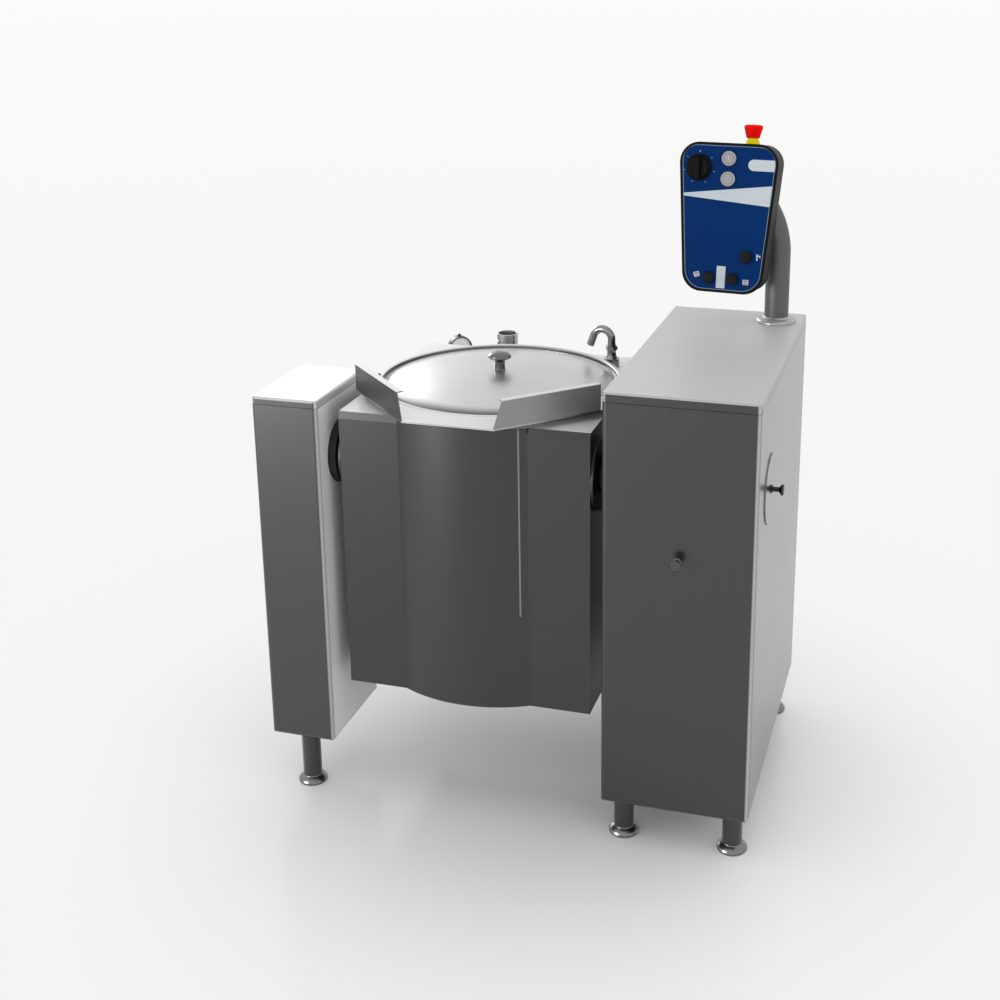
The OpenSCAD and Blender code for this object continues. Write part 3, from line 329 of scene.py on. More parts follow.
upright_grain = (700.0, 700.0, 6.0)
shell_level, shell_coat = 0.052, 0.75
cabinet_steel = brushed(
    "cabinet_steel",
    shell_level,
    upright_grain,
    coat=shell_coat,
    # A painted highlight on the folds that turn to the right.
    fold_highlight_level=0.45,
    fold_highlight_side=("X", 1),
)
dress(cabinet_steel, "control_cabinet")
column_steel = brushed(
    "column_steel",
    0.058,
    upright_grain,
    coat=shell_coat,
    # The inner side is painted paler: painted light in the shade beside the kettle.
    painted_light_sides=(("X", 1),),
    painted_light_level=0.92,
    painted_light_metallic=0.1,
    fold_highlight_level=0.45,
    fold_highlight_side=("X", 1),
)
dress(column_steel, "support_column")

# Caps of cabinet and column: trays of stainless sheet folded down round the edge, brushed across,
# satin on top. Their tops, and the column cap's inner side, are painted paler, which is painted
# light, and their folds carry a painted highlight. They are set on the shells with a fine dark
# joint.
across_grain = (8.0, 700.0, 700.0)
# Paler tops and bright folds here are painted light.
cabinet_cap_steel = brushed(
    "cabinet_cap_steel",
    shell_level,
    across_grain,
    coat=shell_coat,
    painted_light_sides=(("Z", 1),),
    painted_light_level=0.58,
    painted_light_metallic=0.2,
    fold_highlight_level=0.5,
)
dress(cabinet_cap_steel, "cabinet_cap")
column_cap_steel = brushed(
    "column_cap_steel",
    shell_level,
    across_grain,
    coat=shell_coat,
    painted_light_sides=(("Z", 1), ("X", 1)),
    painted_light_level=0.66,
    painted_light_metallic=0.4,
    fold_highlight_level=0.6,
)
dress(column_cap_steel, "column_cap")

# Floor plates and motor bracket: plain mill-finished stainless sheet, cut and folded, and welded
# or bolted inside the shells, where nobody sees them.
plain_steel = brushed("plain_sheet_steel", 0.16, (60.0, 60.0, 60.0), roughness=0.45)
dress(plain_steel, "cabinet_floor", "column_floor", "motor_bracket")


# Rear cover: a flat sheet of brushed stainless steel over the opening in the cabinet's back, held
# by two rows of socket-head screws of turned stainless steel.
def finished(name, shape, *finishes, smooth=False):
    """Makes a bmesh a piece that sits at the origin; its finishes fill its material slots."""
    mesh = bpy.data.meshes.new(name)
    shape.to_mesh(mesh)
    shape.free()
    if smooth:
        mesh.shade_smooth()
        mesh.set_sharp_from_angle(angle=radians(30))
    for finish in finishes:
        mesh.materials.append(finish.material)
    piece = bpy.data.objects.new(name, mesh)
    bpy.context.scene.collection.objects.link(piece)
    return piece


def parts_of(made, kind):
    """The vertices, edges or faces among the parts that an operator made."""
    return [part for part in made if isinstance(part, kind)]


def polished(name, level, roughness):
    """Turned and polished steel with faint rings of wear in its gloss."""
    finish = Finish(name, Metallic=1.0)
    wear = finish.noise(finish.point(), (40.0, 40.0, 220.0), detail=2.0)
    finish.set(Base_Color=streaked(finish, wear, level, 0.1), Roughness=wear * 0.05 + roughness)
    return finish


def add_screw(shape, place, radius, height):
    """A cheese head with a socket, its top towards +Z before place turns it. Its edge and its
    socket are in shares of the radius, and the socket's depth is in shares of the height."""
    chamfer, chamfer_rise, land, socket_draft, socket_depth = 0.2, 0.05, 0.25, 0.02, 0.6
    older = set(shape.verts)
    made = bmesh.ops.create_circle(shape, cap_ends=True, segments=20, radius=radius)
    face = made["verts"][0].link_faces[0]
    raised = bmesh.ops.extrude_face_region(shape, geom=[face])["geom"]
    bmesh.ops.translate(shape, verts=parts_of(raised, bmesh.types.BMVert), vec=(0, 0, height))
    face = parts_of(raised, bmesh.types.BMFace)[0]
    for thickness, depth in (
        (radius * chamfer, radius * chamfer_rise),
        (radius * land, 0.0),
        (radius * socket_draft, -height * socket_depth),
    ):
        bmesh.ops.inset_region(shape, faces=[face], thickness=thickness, depth=depth)
    verts = [vert for vert in shape.verts if vert not in older]
    bmesh.ops.transform(shape, matrix=place, verts=verts)


upright_steel = brushed("upright_brushed_steel", shell_level, upright_grain, coat=shell_coat)
dress(upright_steel, "rear_cover")
bright_steel = polished("bright_turned_steel", 0.24, 0.3)
cover_low, cover_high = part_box("rear_cover")
screw_inset, screw_radius, screw_height, screw_sunk = 0.012, 0.005, 0.0022, 0.0001
screw_rows = 4
screw_run = cover_high.z - cover_low.z - 2 * screw_inset
facing_back = Matrix.Rotation(-pi / 2, 4, "X")
rear_screws = bmesh.new()
for x in (cover_low.x + screw_inset, cover_high.x - screw_inset):
    for row in range(screw_rows):
        z = cover_low.z + screw_inset + screw_run * row / (screw_rows - 1)
        place = Matrix.Translation((x, cover_high.y - screw_sunk, z)) @ facing_back
        add_screw(rear_screws, place, screw_radius, screw_height)
rear_screws_piece = finished("rear_cover_screws", rear_screws, bright_steel)
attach(rear_screws_piece, "stand")

# Round side cover and its knob: a disc of brushed stainless sheet over the trunnion's end, with a
# painted highlight along its edge, and a knob turned from bar that latches it by a quarter turn.
# The edge faces and folds are painted paler: a painted highlight.
cover_steel = brushed(
    "cover_steel",
    shell_level,
    upright_grain,
    coat=shell_coat,
    painted_light_sides=(("Y", -1), ("Y", 1), ("Z", -1), ("Z", 1)),
    painted_light_level=0.35,
    fold_highlight_level=0.35,
)
dress(cover_steel, "side_cover")
latch_steel = polished("latch_steel", 0.055, 0.28)
dress(latch_steel, "cover_latch")

# Legs and feet: brushed stainless tube, welded under the floor plates, and feet turned from bar,
# whose flanges carry the holes for the floor fixings.
dress(upright_steel, "cabinet_legs", "column_leg")
foot_steel = polished("foot_steel", 0.2, 0.24)
dress(foot_steel, "cabinet_feet", "column_foot")

# Hanger peg: turned from stainless bar with a neck behind its head, and screwed to the cabinet's
# front to hang a spoon or a cloth on.
peg_steel = polished("peg_steel", 0.10, 0.26)
dress(peg_steel, "hanger_peg")

# Bearing housings: cast iron, rough from the mould, bolted inside the cabinet and the column to
# carry the kettle's weight.
cast_iron = Finish("cast_iron", Metallic=0.7)
casting = cast_iron.noise(cast_iron.point(), (300.0, 300.0, 300.0), detail=4.0)
cast_iron.set(
    Base_Color=cast_iron.mix(casting, grey(0.10), grey(0.16)),
    Roughness=casting * 0.2 + 0.5,
    Normal=cast_iron.bump(casting, 0.3, 0.0004),
)
dress(cast_iron, "bearing_left", "bearing_right")

# Trunnion bushes: plain bushes turned from bronze, with fine turning marks, pressed into the
# bearing housings.
bronze = Finish("bronze", Metallic=1.0)
turning = bronze.noise(bronze.point(), (900.0, 30.0, 30.0))
bronze.set(
    Base_Color=bronze.mix(turning, (0.55, 0.33, 0.13, 1.0), (0.62, 0.40, 0.17, 1.0)),
    Roughness=turning * 0.15 + 0.25,
)
dress(bronze, "trunnion_bushes")

# Seals: moulded rings of black rubber, a little dusty, pushed over the trunnions to close the
# gaps to the column and the cabinet.
rubber = Finish("seal_rubber", Specular_IOR_Level=0.35)
dust = rubber.noise(rubber.point(), (250.0, 250.0, 250.0), detail=4.0)
rubber.set(
    Base_Color=rubber.mix(dust, grey(0.006), grey(0.012)),
    Roughness=dust * 0.15 + 0.42,
)
dress(rubber, "seal_left", "seal_right")

# Trunnions: flanged shafts turned from stainless bar, bolted to the kettle's side frames, on which
# the kettle tilts.
trunnion_steel = polished("trunnion_steel", 0.06, 0.45)
dress(trunnion_steel, "trunnion_left", "trunnion_right")

# Tilting gear: a sector on the right trunnion and the pinion that drives it, both cut from steel
# bar, with fine marks from the cutter.
gear_steel = Finish("gear_steel", Metallic=1.0)
cutting = gear_steel.noise(gear_steel.point(), (120.0, 700.0, 700.0))
gear_steel.set(
    Base_Color=gear_steel.mix(cutting, (0.22, 0.23, 0.25, 1.0), (0.30, 0.31, 0.33, 1.0)),
    Roughness=cutting * 0.12 + 0.28,
)
dress(gear_steel, "sector_gear", "pinion")


# Gear motor and electrical box: a cast motor in grey-blue machine paint, bolted to its bracket,
# and a sheet box in pale grey powder paint, screwed to the cabinet's wall.
def painted(name, colour, roughness, peel_scale=500.0, peel=0.12, gloss=0.5):
    """Paint or moulded plastic: one colour with slight cloudiness and an orange-peel surface."""
    peel_dulling = 0.06
    finish = Finish(name, Specular_IOR_Level=gloss)
    point = finish.point()
    cloud = finish.noise(point, (30.0, 30.0, 30.0), detail=2.0)
    texture = finish.noise(point, (peel_scale, peel_scale, peel_scale), detail=2.0)
    darker = tuple(channel * 0.92 for channel in colour[:3]) + (1.0,)
    finish.set(
        Base_Color=finish.mix(cloud, darker, colour),
        Roughness=texture * peel_dulling + (roughness - peel_dulling / 2),
        Normal=finish.bump(texture, peel, 0.0002),
    )
    return finish


motor_paint = painted("motor_paint", (0.035, 0.055, 0.07, 1.0), 0.45)
dress(motor_paint, "gear_motor")
box_paint = painted("box_paint", (0.60, 0.60, 0.57, 1.0), 0.5)
dress(box_paint, "electronics_box")

# Post and its flange: a bent stainless tube, brushed along its length, that carries the panel and
# the panel's wires, in a turned satin flange welded on the cabinet's cap.
post_steel = brushed("post_steel", 0.13, (500.0, 500.0, 10.0), roughness=0.5, metallic=0.6)
dress(post_steel, "post")
flange_steel = brushed("flange_steel", 0.42, (90.0, 90.0, 90.0), roughness=0.4, metallic=0.6)
dress(flange_steel, "post_flange")

# Panel: a moulded dark grey plastic housing with a black rim clipped round its front, a black
# rotary dial, and the switch bodies that snap in behind the foil.
housing_plastic = painted(
    "housing_plastic", grey(0.025), 0.5, peel_scale=900.0, peel=0.2, gloss=0.12
)
dress(housing_plastic, "panel_housing")
black_plastic = painted("black_plastic", grey(0.006), 0.5, gloss=0.05)
dress(black_plastic, "panel_rim", "mode_dial")
switch_plastic = painted("switch_plastic", grey(0.02), 0.5)
dress(switch_plastic, "contact_blocks")

# Fascia: a navy plastic foil glued on the panel's front, printed with a plain pale wedge, a blank
# field at the top and one between the tilting buttons. The print is laid out in the panel's own
# frame: u across and v up from its middle, in metres.
panel_middle = Vector((0.31625, 0.181, 1.124))
panel_yaw = radians(-6)
panel_lean = radians(90 - 7)
panel_place = (
    Matrix.Translation(panel_middle)
    @ Matrix.Rotation(panel_yaw, 4, "Z")
    @ Matrix.Rotation(panel_lean, 4, "X")
)
navy = (0.0, 0.031, 0.155, 1.0)
pale_print = (0.66, 0.73, 0.77, 1.0)
wedge_top_slope, wedge_top = 0.125, 0.057
wedge_bottom_slope, wedge_bottom = -0.074, 0.034
field_low, field_high, field_start = 0.096, 0.118, 0.040
low_field_u, low_field_v = -0.0025, -0.117
low_field_half_width, low_field_half_height = 0.009, 0.022


def panel_point(finish, u=0.0, v=0.0):
    """The surface's place on the panel from the point (u, v), as separate u and v values."""
    spot = finish.node(
        "ShaderNodeMapping",
        {"vector_type": "TEXTURE"},
        {
            "Vector": finish.point(),
            "Location": panel_place @ Vector((u, v, 0)),
            "Rotation": (panel_lean, 0, panel_yaw),
        },
    )
    across = finish.apart(spot)
    return across, across.also("Y")


foil = Finish("navy_foil", Roughness=0.5, Specular_IOR_Level=0.03)
u, v = panel_point(foil)
wedge = (v < u * wedge_top_slope + wedge_top) * (v > u * wedge_bottom_slope + wedge_bottom)
end_radius = (field_high - field_low) / 2
end_u = u - (field_start + end_radius)
end_v = v - (field_low + field_high) / 2
round_end = end_u * end_u + end_v * end_v < end_radius * end_radius
top_field = (v > field_low) * (v < field_high) * (u > field_start + end_radius) + round_end
low_field = (abs(u - low_field_u) < low_field_half_width) * (
    abs(v - low_field_v) < low_field_half_height
)
printed = wedge + top_field + low_field
foil.set(Base_Color=foil.mix(printed > 0.5, navy, pale_print))
dress(foil, "fascia")

# Printed marks: inks screen-printed on the foil and raised by their own thickness. They are the
# fine line along the foil's edge, the dial's seven marks, a tap beside the water button and a pan
# beside each tilting button.
foil_face = -0.0006
ink, ink_gap = 0.00015, 0.00002
white_ink = painted("white_ink", (0.66, 0.72, 0.76, 1.0), 0.4)
line_ink = painted("line_ink", (0.22, 0.32, 0.36, 1.0), 0.4)
blue_ink = painted("blue_ink", (0.03, 0.18, 0.36, 1.0), 0.4)
red_ink = painted("red_ink", (0.72, 0.02, 0.02, 1.0), 0.4)
pale_blue_ink = painted("pale_blue_ink", (0.18, 0.45, 0.68, 1.0), 0.4)


def add_bar(shape, width, height, place, finish_index=0, depth=ink):
    """A flat bar of ink, its middle at the place's origin, resting on the surface there."""
    size = Matrix.Diagonal((width, height, depth, 1.0))
    matrix = place @ Matrix.Translation((0, 0, depth / 2)) @ size
    made = bmesh.ops.create_cube(shape, size=1.0, matrix=matrix)
    for face in {face for vert in made["verts"] for face in vert.link_faces}:
        face.material_index = finish_index


def on_foil(u, v, turn=0.0, lift=ink_gap):
    """A place on the foil, turned anticlockwise by turn in radians."""
    return (
        panel_place
        @ Matrix.Translation((u, v, foil_face + lift))
        @ Matrix.Rotation(turn, 4, "Z")
    )


foil_top, foil_half_top, foil_half_bottom, foil_corner = 0.1424, 0.0965, 0.0748, 0.0345
border_width = 0.0010
border = bmesh.new()
corners = [
    border.verts.new(corner)
    for corner in (
        (foil_half_top, foil_top, 0),
        (-foil_half_top, foil_top, 0),
        (-foil_half_bottom, -foil_top, 0),
        (foil_half_bottom, -foil_top, 0),
    )
]
border.faces.new(corners)
bmesh.ops.bevel(
    border,
    geom=corners,
    offset=foil_corner,
    segments=10,
    profile=0.5,
    affect="VERTICES",
    material=-1,
)
bmesh.ops.inset_region(
    border,
    faces=list(border.faces),
    thickness=border_width,
    use_boundary=True,
    use_even_offset=True,
)
middle_face = max(border.faces, key=lambda face: face.calc_area())
bmesh.ops.delete(border, geom=[middle_face], context="FACES_ONLY")
bmesh.ops.solidify(border, geom=list(border.faces), thickness=ink)
bmesh.ops.transform(border, matrix=on_foil(0, 0, lift=ink + ink_gap), verts=list(border.verts))
bmesh.ops.recalc_face_normals(border, faces=list(border.faces))
border_piece = finished("foil_border", border, line_ink)
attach(border_piece, "stand")

dial_u, dial_v, dial_mark_radius = -0.059, 0.098, 0.0315
dial_mark_count = 7
dial_marks = bmesh.new()
for mark in range(dial_mark_count):
    length, width = (0.0038, 0.0019) if mark == 0 else (0.0028, 0.0012)
    angle = pi / 2 + 2 * pi * mark / dial_mark_count
    mark_u = dial_u + dial_mark_radius * cos(angle)
    mark_v = dial_v + dial_mark_radius * sin(angle)
    add_bar(dial_marks, length, width, on_foil(mark_u, mark_v, angle))
dial_marks_piece = finished("dial_marks", dial_marks, pale_blue_ink)
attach(dial_marks_piece, "stand")

tap_u, tap_v = 0.0715, -0.0735
tap_mark = bmesh.new()
for width, height, across, up in (
    (0.0024, 0.0085, -0.0028, -0.0012),
    (0.0080, 0.0022, 0.0, 0.0038),
    (0.0018, 0.0026, 0.0031, 0.0014),
    (0.0046, 0.0014, -0.0028, 0.0062),
):
    add_bar(tap_mark, width, height, on_foil(tap_u + across, tap_v + up))
tap_mark_piece = finished("tap_mark", tap_mark, white_ink)
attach(tap_mark_piece, "stand")


def add_pan(shape, u, v, turn):
    """A pan seen from the side: white walls, blue water and a red glow under it."""
    place = on_foil(u, v, turn)
    add_bar(shape, 0.0115, 0.0100, place, 0)
    add_bar(shape, 0.0085, 0.0032, place @ Matrix.Translation((0, 0.0022, ink)), 1)
    add_bar(shape, 0.0085, 0.0026, place @ Matrix.Translation((0, -0.0026, ink)), 2)


for name, mark_u, mark_v, turn in (
    ("tilt_pan_mark", -0.0525, -0.1145, radians(18)),
    ("level_pan_mark", 0.0485, -0.1235, 0.0),
):
    pan_mark = bmesh.new()
    add_pan(pan_mark, mark_u, mark_v, turn)
    pan_piece = finished(name, pan_mark, white_ink, blue_ink, red_ink)
    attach(pan_piece, "stand")

# Push buttons: two moulded in grey plastic, with a darker ring and a raised white symbol, and
# three moulded in black rubber. All stand on springs in the switch bodies.
grey_button_radius, button_top, symbol_lift = 0.0145, 0.0062, 0.0001
ring_inner, ring_outer = 0.40, 0.56
symbol_depth, symbol_ring_radius, symbol_ring_bore = 0.0004, 0.0042, 0.70
button_grey, ring_grey = (0.40, 0.40, 0.42, 1.0), (0.26, 0.26, 0.28, 1.0)
button_u = 0.0015
for node, button_v in (("on_button", 0.118), ("off_button", 0.078)):
    button_plastic = Finish(node + "_plastic", Roughness=0.45, Specular_IOR_Level=0.2)
    u, v = panel_point(button_plastic, button_u, button_v)
    distance = (u * u + v * v) / grey_button_radius**2
    ring = (distance > ring_inner) * (distance < ring_outer)
    button_plastic.set(Base_Color=button_plastic.mix(ring, button_grey, ring_grey))
    dress(button_plastic, node)

    symbol = bmesh.new()
    at = panel_place @ Matrix.Translation((button_u, button_v, button_top + symbol_lift))
    if node == "on_button":
        add_bar(symbol, 0.0014, 0.0080, at, depth=symbol_depth)
    else:
        bmesh.ops.create_circle(symbol, segments=32, radius=symbol_ring_radius)
        rim = bmesh.ops.extrude_edge_only(symbol, edges=list(symbol.edges))["geom"]
        inner = parts_of(rim, bmesh.types.BMVert)
        bmesh.ops.scale(symbol, vec=(symbol_ring_bore, symbol_ring_bore, 1.0), verts=inner)
        bmesh.ops.solidify(symbol, geom=list(symbol.faces), thickness=symbol_depth)
        bmesh.ops.recalc_face_normals(symbol, faces=list(symbol.faces))
        bmesh.ops.transform(symbol, matrix=at, verts=list(symbol.verts))
    symbol_piece = finished(node + "_symbol", symbol, white_ink)
    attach(symbol_piece, node)

button_rubber = painted("button_rubber", grey(0.007), 0.5, gloss=0.08)
dress(button_rubber, "water_button", "tilt_up_button", "tilt_down_button")

# Stop button: a flared head moulded in red plastic, on a ribbed yellow collar that is screwed into
# the panel's top edge.
dress(painted("red_plastic", (1.0, 0.001, 0.0, 1.0), 0.5, gloss=0.06), "stop_button")
dress(painted("yellow_plastic", (1.0, 0.86, 0.002, 1.0), 0.5, gloss=0.06), "stop_collar")

# Kettle's casing and its floor: stainless sheet rolled to a round belly between two flat wings,
# with the brushing round the belly, welded to the side frames.
casing_grain = (8.0, 8.0, 700.0)
casing_steel = brushed("casing_steel", 0.05, casing_grain, coat=0.5)
dress(casing_steel, "casing", "casing_floor")

# Deck: stainless sheet folded down at its edges over the casing's top, satin on top and painted
# paler there, which is painted light, with a round opening for the vessel, whose rim is welded to
# it.
# The top is painted paler: painted light.
deck_steel = brushed(
    "deck_steel",
    0.045,
    across_grain,
    coat=0.05,
    painted_light_sides=(("Z", 1),),
    painted_light_level=0.82,
    painted_light_metallic=0.1,
)
dress(deck_steel, "deck")

# Seam strip and service box: a narrow bright strip over the casing's upright seam, and a folded
# box on the casing's back, of the caps' steel, that carries the gauge and the valve.
strip_steel = brushed("strip_steel", 0.25, (300.0, 300.0, 20.0), roughness=0.3)
dress(strip_steel, "seam_strip")
# The caps' steel gives the box a painted paler top and a painted highlight on its folds.
dress(cabinet_cap_steel, "service_box")

# Vessel, jacket, rods and side frames: a pan pressed from stainless sheet with a satin inside, in
# a plain jacket of water and steam that the rods heat, hung between two folded frames.
vessel_steel = brushed("vessel_steel", 0.72, (30.0, 30.0, 500.0), roughness=0.3, metallic=0.7)
dress(vessel_steel, "inner_vessel")
dress(plain_steel, "steam_jacket", "heating_rods", "side_frames")

# Rim and pouring lip: satin stainless steel, folded from sheet, welded to the vessel's edge and
# ground smooth. Their tops are painted paler, which is painted light.
rim_grain = (90.0, 90.0, 90.0)
# Tops painted paler: painted light.
rim_painted_light = {"painted_light_sides": (("Z", 1),), "painted_light_level": 0.65}
rim_steel = brushed("rim_steel", 0.42, rim_grain, roughness=0.3, **rim_painted_light)
dress(rim_steel, "rim_ring", "pouring_lip")

# Splash guards: two upright plates of satin stainless sheet, folded over along their tops and
# welded to the rim at either side of the pouring lip. Their tops are painted paler, which is
# painted light, and the left one is painted darker all over, which is painted shade.
# The left guard's lower level is painted shade.
for side, guard_level, guard_metallic in (("left", 0.12, 0.8), ("right", 0.30, 0.5)):
    guard_steel = brushed(
        "guard_steel_" + side,
        guard_level,
        rim_grain,
        roughness=0.4,
        metallic=guard_metallic,
        **rim_painted_light,
    )
    dress(guard_steel, "guard_" + side)


# Lid stop: a stud with a domed head, turned from stainless bar and welded on the rim behind the
# left splash guard, where it keeps the lid from sliding.
def add_turned(shape, profile, place, segments=64):
    """Turns a profile of (radius, height) points in millimetres about its own upright axis."""
    older = set(shape.verts)
    corners = [shape.verts.new((radius / 1000, 0, height / 1000)) for radius, height in profile]
    edges = [shape.edges.new(pair) for pair in zip(corners, corners[1:])]
    bmesh.ops.spin(
        shape,
        geom=corners + edges,
        cent=(0, 0, 0),
        axis=(0, 0, 1),
        angle=2 * pi,
        steps=segments,
        use_merge=True,
    )
    made = [vert for vert in shape.verts if vert not in older]
    bmesh.ops.remove_doubles(shape, verts=made, dist=1e-6)
    made = [vert for vert in shape.verts if vert not in older]
    faces = list({face for vert in made for face in vert.link_faces})
    bmesh.ops.recalc_face_normals(shape, faces=faces)
    bmesh.ops.transform(shape, matrix=place, verts=made)


kettle_axis = Vector((-0.0855, -0.037, 0.0))
rim_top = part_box("rim_ring")[1].z
stud_angle, stud_from_axis = radians(196), 0.239
stud_place = kettle_axis + Vector(
    (stud_from_axis * cos(stud_angle), stud_from_axis * sin(stud_angle), rim_top)
)
stud_steel = polished("stud_steel", 0.07, 0.3)
lid_stop = bmesh.new()
add_turned(
    lid_stop,
    [(0, -0.3), (3.0, -0.3), (3.0, 4.5), (4.3, 5.2), (4.4, 7.6), (3.2, 9.0), (0, 9.6)],
    Matrix.Translation(stud_place),
    segments=24,
)
lid_stop_piece = finished("lid_stop", lid_stop, stud_steel, smooth=True)
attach(lid_stop_piece, "kettle")

# Lid: a loose dome pressed from stainless sheet and brushed all over, painted darker towards its
# edge, most of all at the front, which is painted shade in place of a darker reflection there, with
# a knob turned from bar and screwed on its middle.
lid_low, lid_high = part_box("lid_dome")
lid_radius = (lid_high.x - lid_low.x) / 2
edge_shade_start, edge_shade_end = lid_radius * 0.82, lid_radius * 0.98
edge_shade_all_round, front_shade = 0.52, 0.45
lid_steel = brushed("lid_steel", 0.55, (14.0, 14.0, 14.0), roughness=0.34)
from_axis = lid_steel.node(
    "ShaderNodeMapping",
    {"vector_type": "POINT"},
    {"Vector": lid_steel.point(), "Location": -kettle_axis, "Scale": (1.0, 1.0, 0.0)},
)
# Painted shade: darker towards the edge, most of all at the front.
painted_edge_shade = lid_steel.rise(lid_steel.length(from_axis), edge_shade_start, edge_shade_end)
towards_front = lid_steel.apart(from_axis).also("Y") / -lid_radius
painted_edge_shade = painted_edge_shade * (towards_front * front_shade + edge_shade_all_round)
sheet_colour = Value(lid_steel, lid_steel.shader.inputs["Base Color"].links[0].from_socket)
lid_steel.set(Base_Color=lid_steel.mix(painted_edge_shade, sheet_colour, grey(0.06)))
dress(lid_steel, "lid_dome")
knob_steel = polished("knob_steel", 0.15, 0.2)
dress(knob_steel, "lid_knob")

# Tap: a turned and chromed body screwed to the deck, and a swan-neck spout bent from thick tube,
# which turns in the body on a collar.
chrome = polished("chrome", 0.26, 0.14)
dress(chrome, "tap_body")


def draw_out(shape, edges, move):
    """Extrudes a ring of edges, moves the new ring and returns its edges."""
    made = bmesh.ops.extrude_edge_only(shape, edges=edges)["geom"]
    bmesh.ops.transform(shape, matrix=move, verts=parts_of(made, bmesh.types.BMVert))
    return parts_of(made, bmesh.types.BMEdge)


def widened(factor):
    return Matrix.Diagonal((factor, factor, 1, 1))


deck_top = 0.810
tap_low, tap_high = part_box("tap_body")
tap_foot = Vector(((tap_low.x + tap_high.x) / 2, (tap_low.y + tap_high.y) / 2, deck_top))
tap_aim = radians(172)
stem_radius, collar_radius, pipe_radius, bore_radius = 0.0062, 0.0092, 0.0079, 0.0064
stem_start, collar_start, pipe_start, bend_start = 0.029, 0.0442, 0.0480, 0.058
bend_radius, bend_angle, tail = 0.020, radians(160), 0.024
spout = bmesh.new()
bmesh.ops.create_circle(
    spout,
    cap_ends=True,
    segments=32,
    radius=stem_radius,
    matrix=Matrix.Translation((0, 0, stem_start)),
)
ring = list(spout.edges)
for rise, wider in (
    (collar_start - stem_start, 1.0),
    (0.0, collar_radius / stem_radius),
    (pipe_start - collar_start, 1.0),
    (0.0, pipe_radius / collar_radius),
    (bend_start - pipe_start, 1.0),
):
    ring = draw_out(spout, ring, Matrix.Translation((0, 0, rise)) @ widened(wider))
bent = bmesh.ops.spin(
    spout,
    geom=ring,
    cent=(bend_radius, 0, bend_start),
    axis=(0, 1, 0),
    angle=bend_angle,
    steps=24,
)
ring = parts_of(bent["geom_last"], bmesh.types.BMEdge)
mouth_turn = Matrix.Rotation(bend_angle, 4, "Y")
bend_end = Vector(
    (bend_radius * (1 - cos(bend_angle)), 0, bend_start + bend_radius * sin(bend_angle))
)
mouth = Matrix.Translation(bend_end) @ mouth_turn @ Matrix.Translation((0, 0, tail))
down_the_tail = mouth_turn @ Matrix.Translation((0, 0, tail)) @ mouth_turn.inverted()
to_the_bore = mouth @ widened(bore_radius / pipe_radius) @ mouth.inverted()
for move in (down_the_tail, to_the_bore, down_the_tail.inverted()):
    ring = draw_out(spout, ring, move)
bmesh.ops.holes_fill(spout, edges=ring)
bmesh.ops.recalc_face_normals(spout, faces=list(spout.faces))
bmesh.ops.transform(
    spout,
    matrix=Matrix.Translation(tap_foot) @ Matrix.Rotation(tap_aim, 4, "Z"),
    verts=list(spout.verts),
)
spout_piece = finished("swan_neck_spout", spout, chrome, smooth=True)
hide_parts("tap_spout")
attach(spout_piece, "tap_spout")

# Safety valve: an open cup turned from stainless bar, with two grooves round it and its spindle
# inside, on a short neck that is screwed into the service box.
valve_low, valve_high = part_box("safety_valve")
valve_middle = (valve_low + valve_high) / 2
valve = bmesh.new()
add_turned(
    valve,
    [
        (0, 770.6), (14, 770.6), (14, 776.5), (11, 778.5), (11, 798), (21.5, 798), (22.5, 799),
        (22.5, 811), (21.4, 811.6), (21.4, 813.2), (22.5, 813.8), (22.5, 822), (21.4, 822.6),
        (21.4, 824.2), (22.5, 824.8), (22.5, 837.4), (21.7, 838.4), (19.6, 838.4), (18.8, 837.4),
        (18.8, 821), (7, 819.5), (7, 830), (5.6, 831.5), (0, 831.5),
    ],
    Matrix.Translation((valve_middle.x, valve_middle.y, 0)),
)
valve_steel = polished("valve_steel", 0.42, 0.28)
valve_piece = finished("valve_cup", valve, valve_steel, smooth=True)
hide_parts("safety_valve")
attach(valve_piece, "kettle")

# Pressure gauge: a spun steel case in black enamel with a narrow bezel, on a stem screwed into the
# service box. It holds a white printed face, a black pointer and a glass. The face glows faintly,
# which is painted light, though it is no lamp.
gauge_middle = Vector((-0.26925, 0.246, 0.7965))
gauge_aim = atan2(kettle_axis.y - gauge_middle.y, kettle_axis.x - gauge_middle.x)
gauge_place = (
    Matrix.Translation(gauge_middle)
    @ Matrix.Rotation(gauge_aim + pi / 2, 4, "Z")
    @ Matrix.Rotation(pi / 2, 4, "X")
)
stem_place = (
    gauge_place @ Matrix.Translation((0, 0, -0.013)) @ Matrix.Rotation(-pi / 2, 4, "X")
)
gauge_case = bmesh.new()
add_turned(
    gauge_case,
    [
        (0, -26), (23, -26), (23.5, -25), (23.5, -7), (25.8, -6), (25.8, -1), (25.2, 0),
        (23.2, 0), (22.6, -8), (0, -8),
    ],
    gauge_place,
)
for stem_profile in (
    [(0, -25.9), (7, -25.9), (7, -20), (0, -20)],
    [(0, 21), (3, 21), (3, 28.6), (2.4, 29.2), (0, 29.2)],
):
    add_turned(gauge_case, stem_profile, stem_place, segments=24)
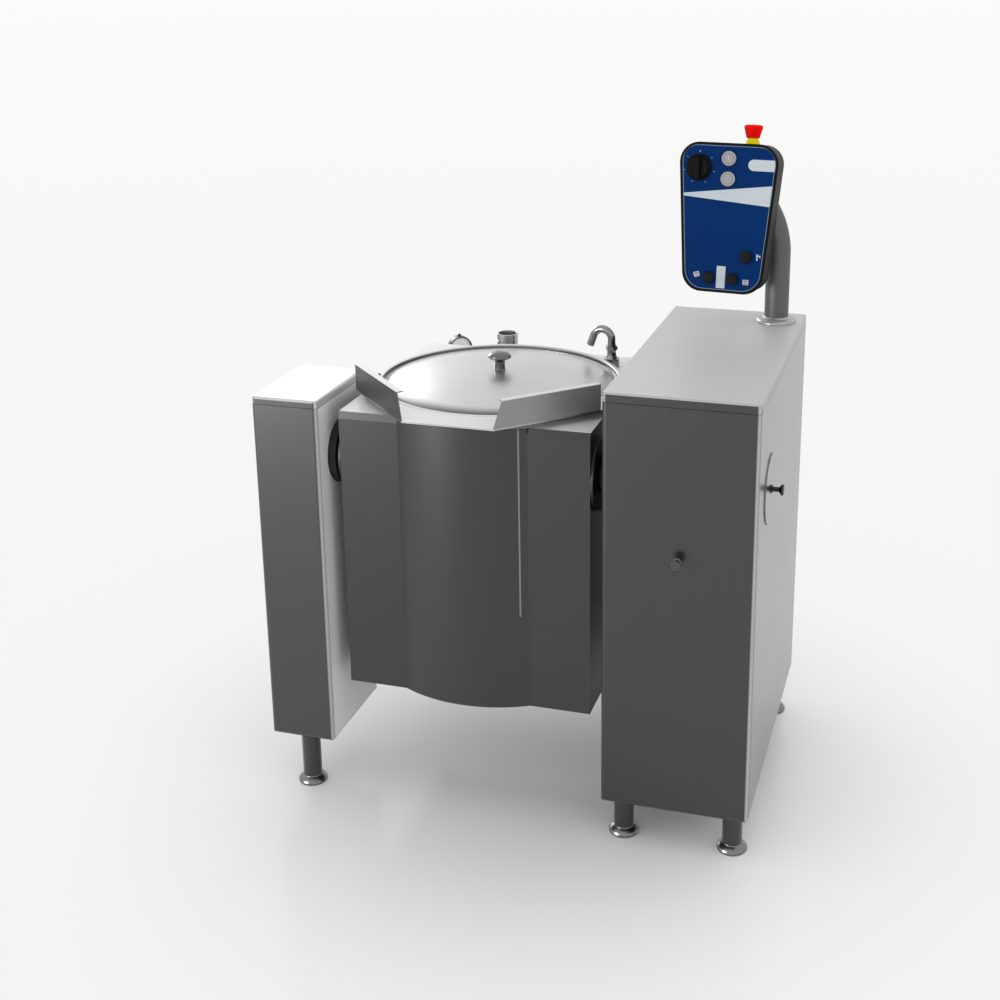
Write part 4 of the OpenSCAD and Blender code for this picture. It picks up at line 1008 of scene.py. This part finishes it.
gauge_paint = painted("gauge_paint", grey(0.035), 0.35, gloss=0.3)
gauge_case_piece = finished("gauge_case", gauge_case, gauge_paint, smooth=True)
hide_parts("pressure_gauge")
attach(gauge_case_piece, "kettle")


def gauge_disc(name, radius, thickness, depth, finish):
    """A round sheet in the gauge, whose top lies at depth from the bezel's edge."""
    shape = bmesh.new()
    bmesh.ops.create_circle(shape, cap_ends=True, segments=48, radius=radius)
    bmesh.ops.solidify(shape, geom=list(shape.faces), thickness=thickness)
    bmesh.ops.recalc_face_normals(shape, faces=list(shape.faces))
    place = gauge_place @ Matrix.Translation((0, 0, depth))
    bmesh.ops.transform(shape, matrix=place, verts=list(shape.verts))
    return finished(name, shape, finish)


dial_depth = -0.008
face_print = painted("gauge_face", grey(0.95), 0.4)
# A faint glow on the face: painted light that lifts it in the bezel's shade.
face_print.set(Emission_Color=grey(1.0), Emission_Strength=0.3)
gauge_face_piece = gauge_disc("gauge_face", 0.0224, ink, dial_depth + ink + ink_gap, face_print)
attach(gauge_face_piece, "kettle")

mark_reach, mark_lift = 0.0208, 0.00003
gauge_steps, steps_to_a_long_mark = 20, 5
scale_start, scale_sweep = 225, 270
black_ink = painted("black_ink", grey(0.01), 0.4)
gauge_marks = bmesh.new()
for mark in range(gauge_steps + 1):
    angle = radians(scale_start - scale_sweep * mark / gauge_steps)
    length, width = (0.0040, 0.0007) if mark % steps_to_a_long_mark == 0 else (0.0024, 0.0004)
    middle = mark_reach - length / 2
    spot = (middle * cos(angle), middle * sin(angle), dial_depth + ink + mark_lift)
    at = gauge_place @ Matrix.Translation(spot) @ Matrix.Rotation(angle, 4, "Z")
    add_bar(gauge_marks, length, width, at)
gauge_marks_piece = finished("gauge_marks", gauge_marks, black_ink)
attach(gauge_marks_piece, "kettle")

dress(painted("pointer_paint", grey(0.012), 0.4), "gauge_pointer")

glass = Finish("gauge_glass", Base_Color=grey(1.0), Roughness=0.03, Alpha=0.06)
gauge_glass_piece = gauge_disc("gauge_glass", 0.0229, 0.0012, -0.0020, glass)
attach(gauge_glass_piece, "kettle")
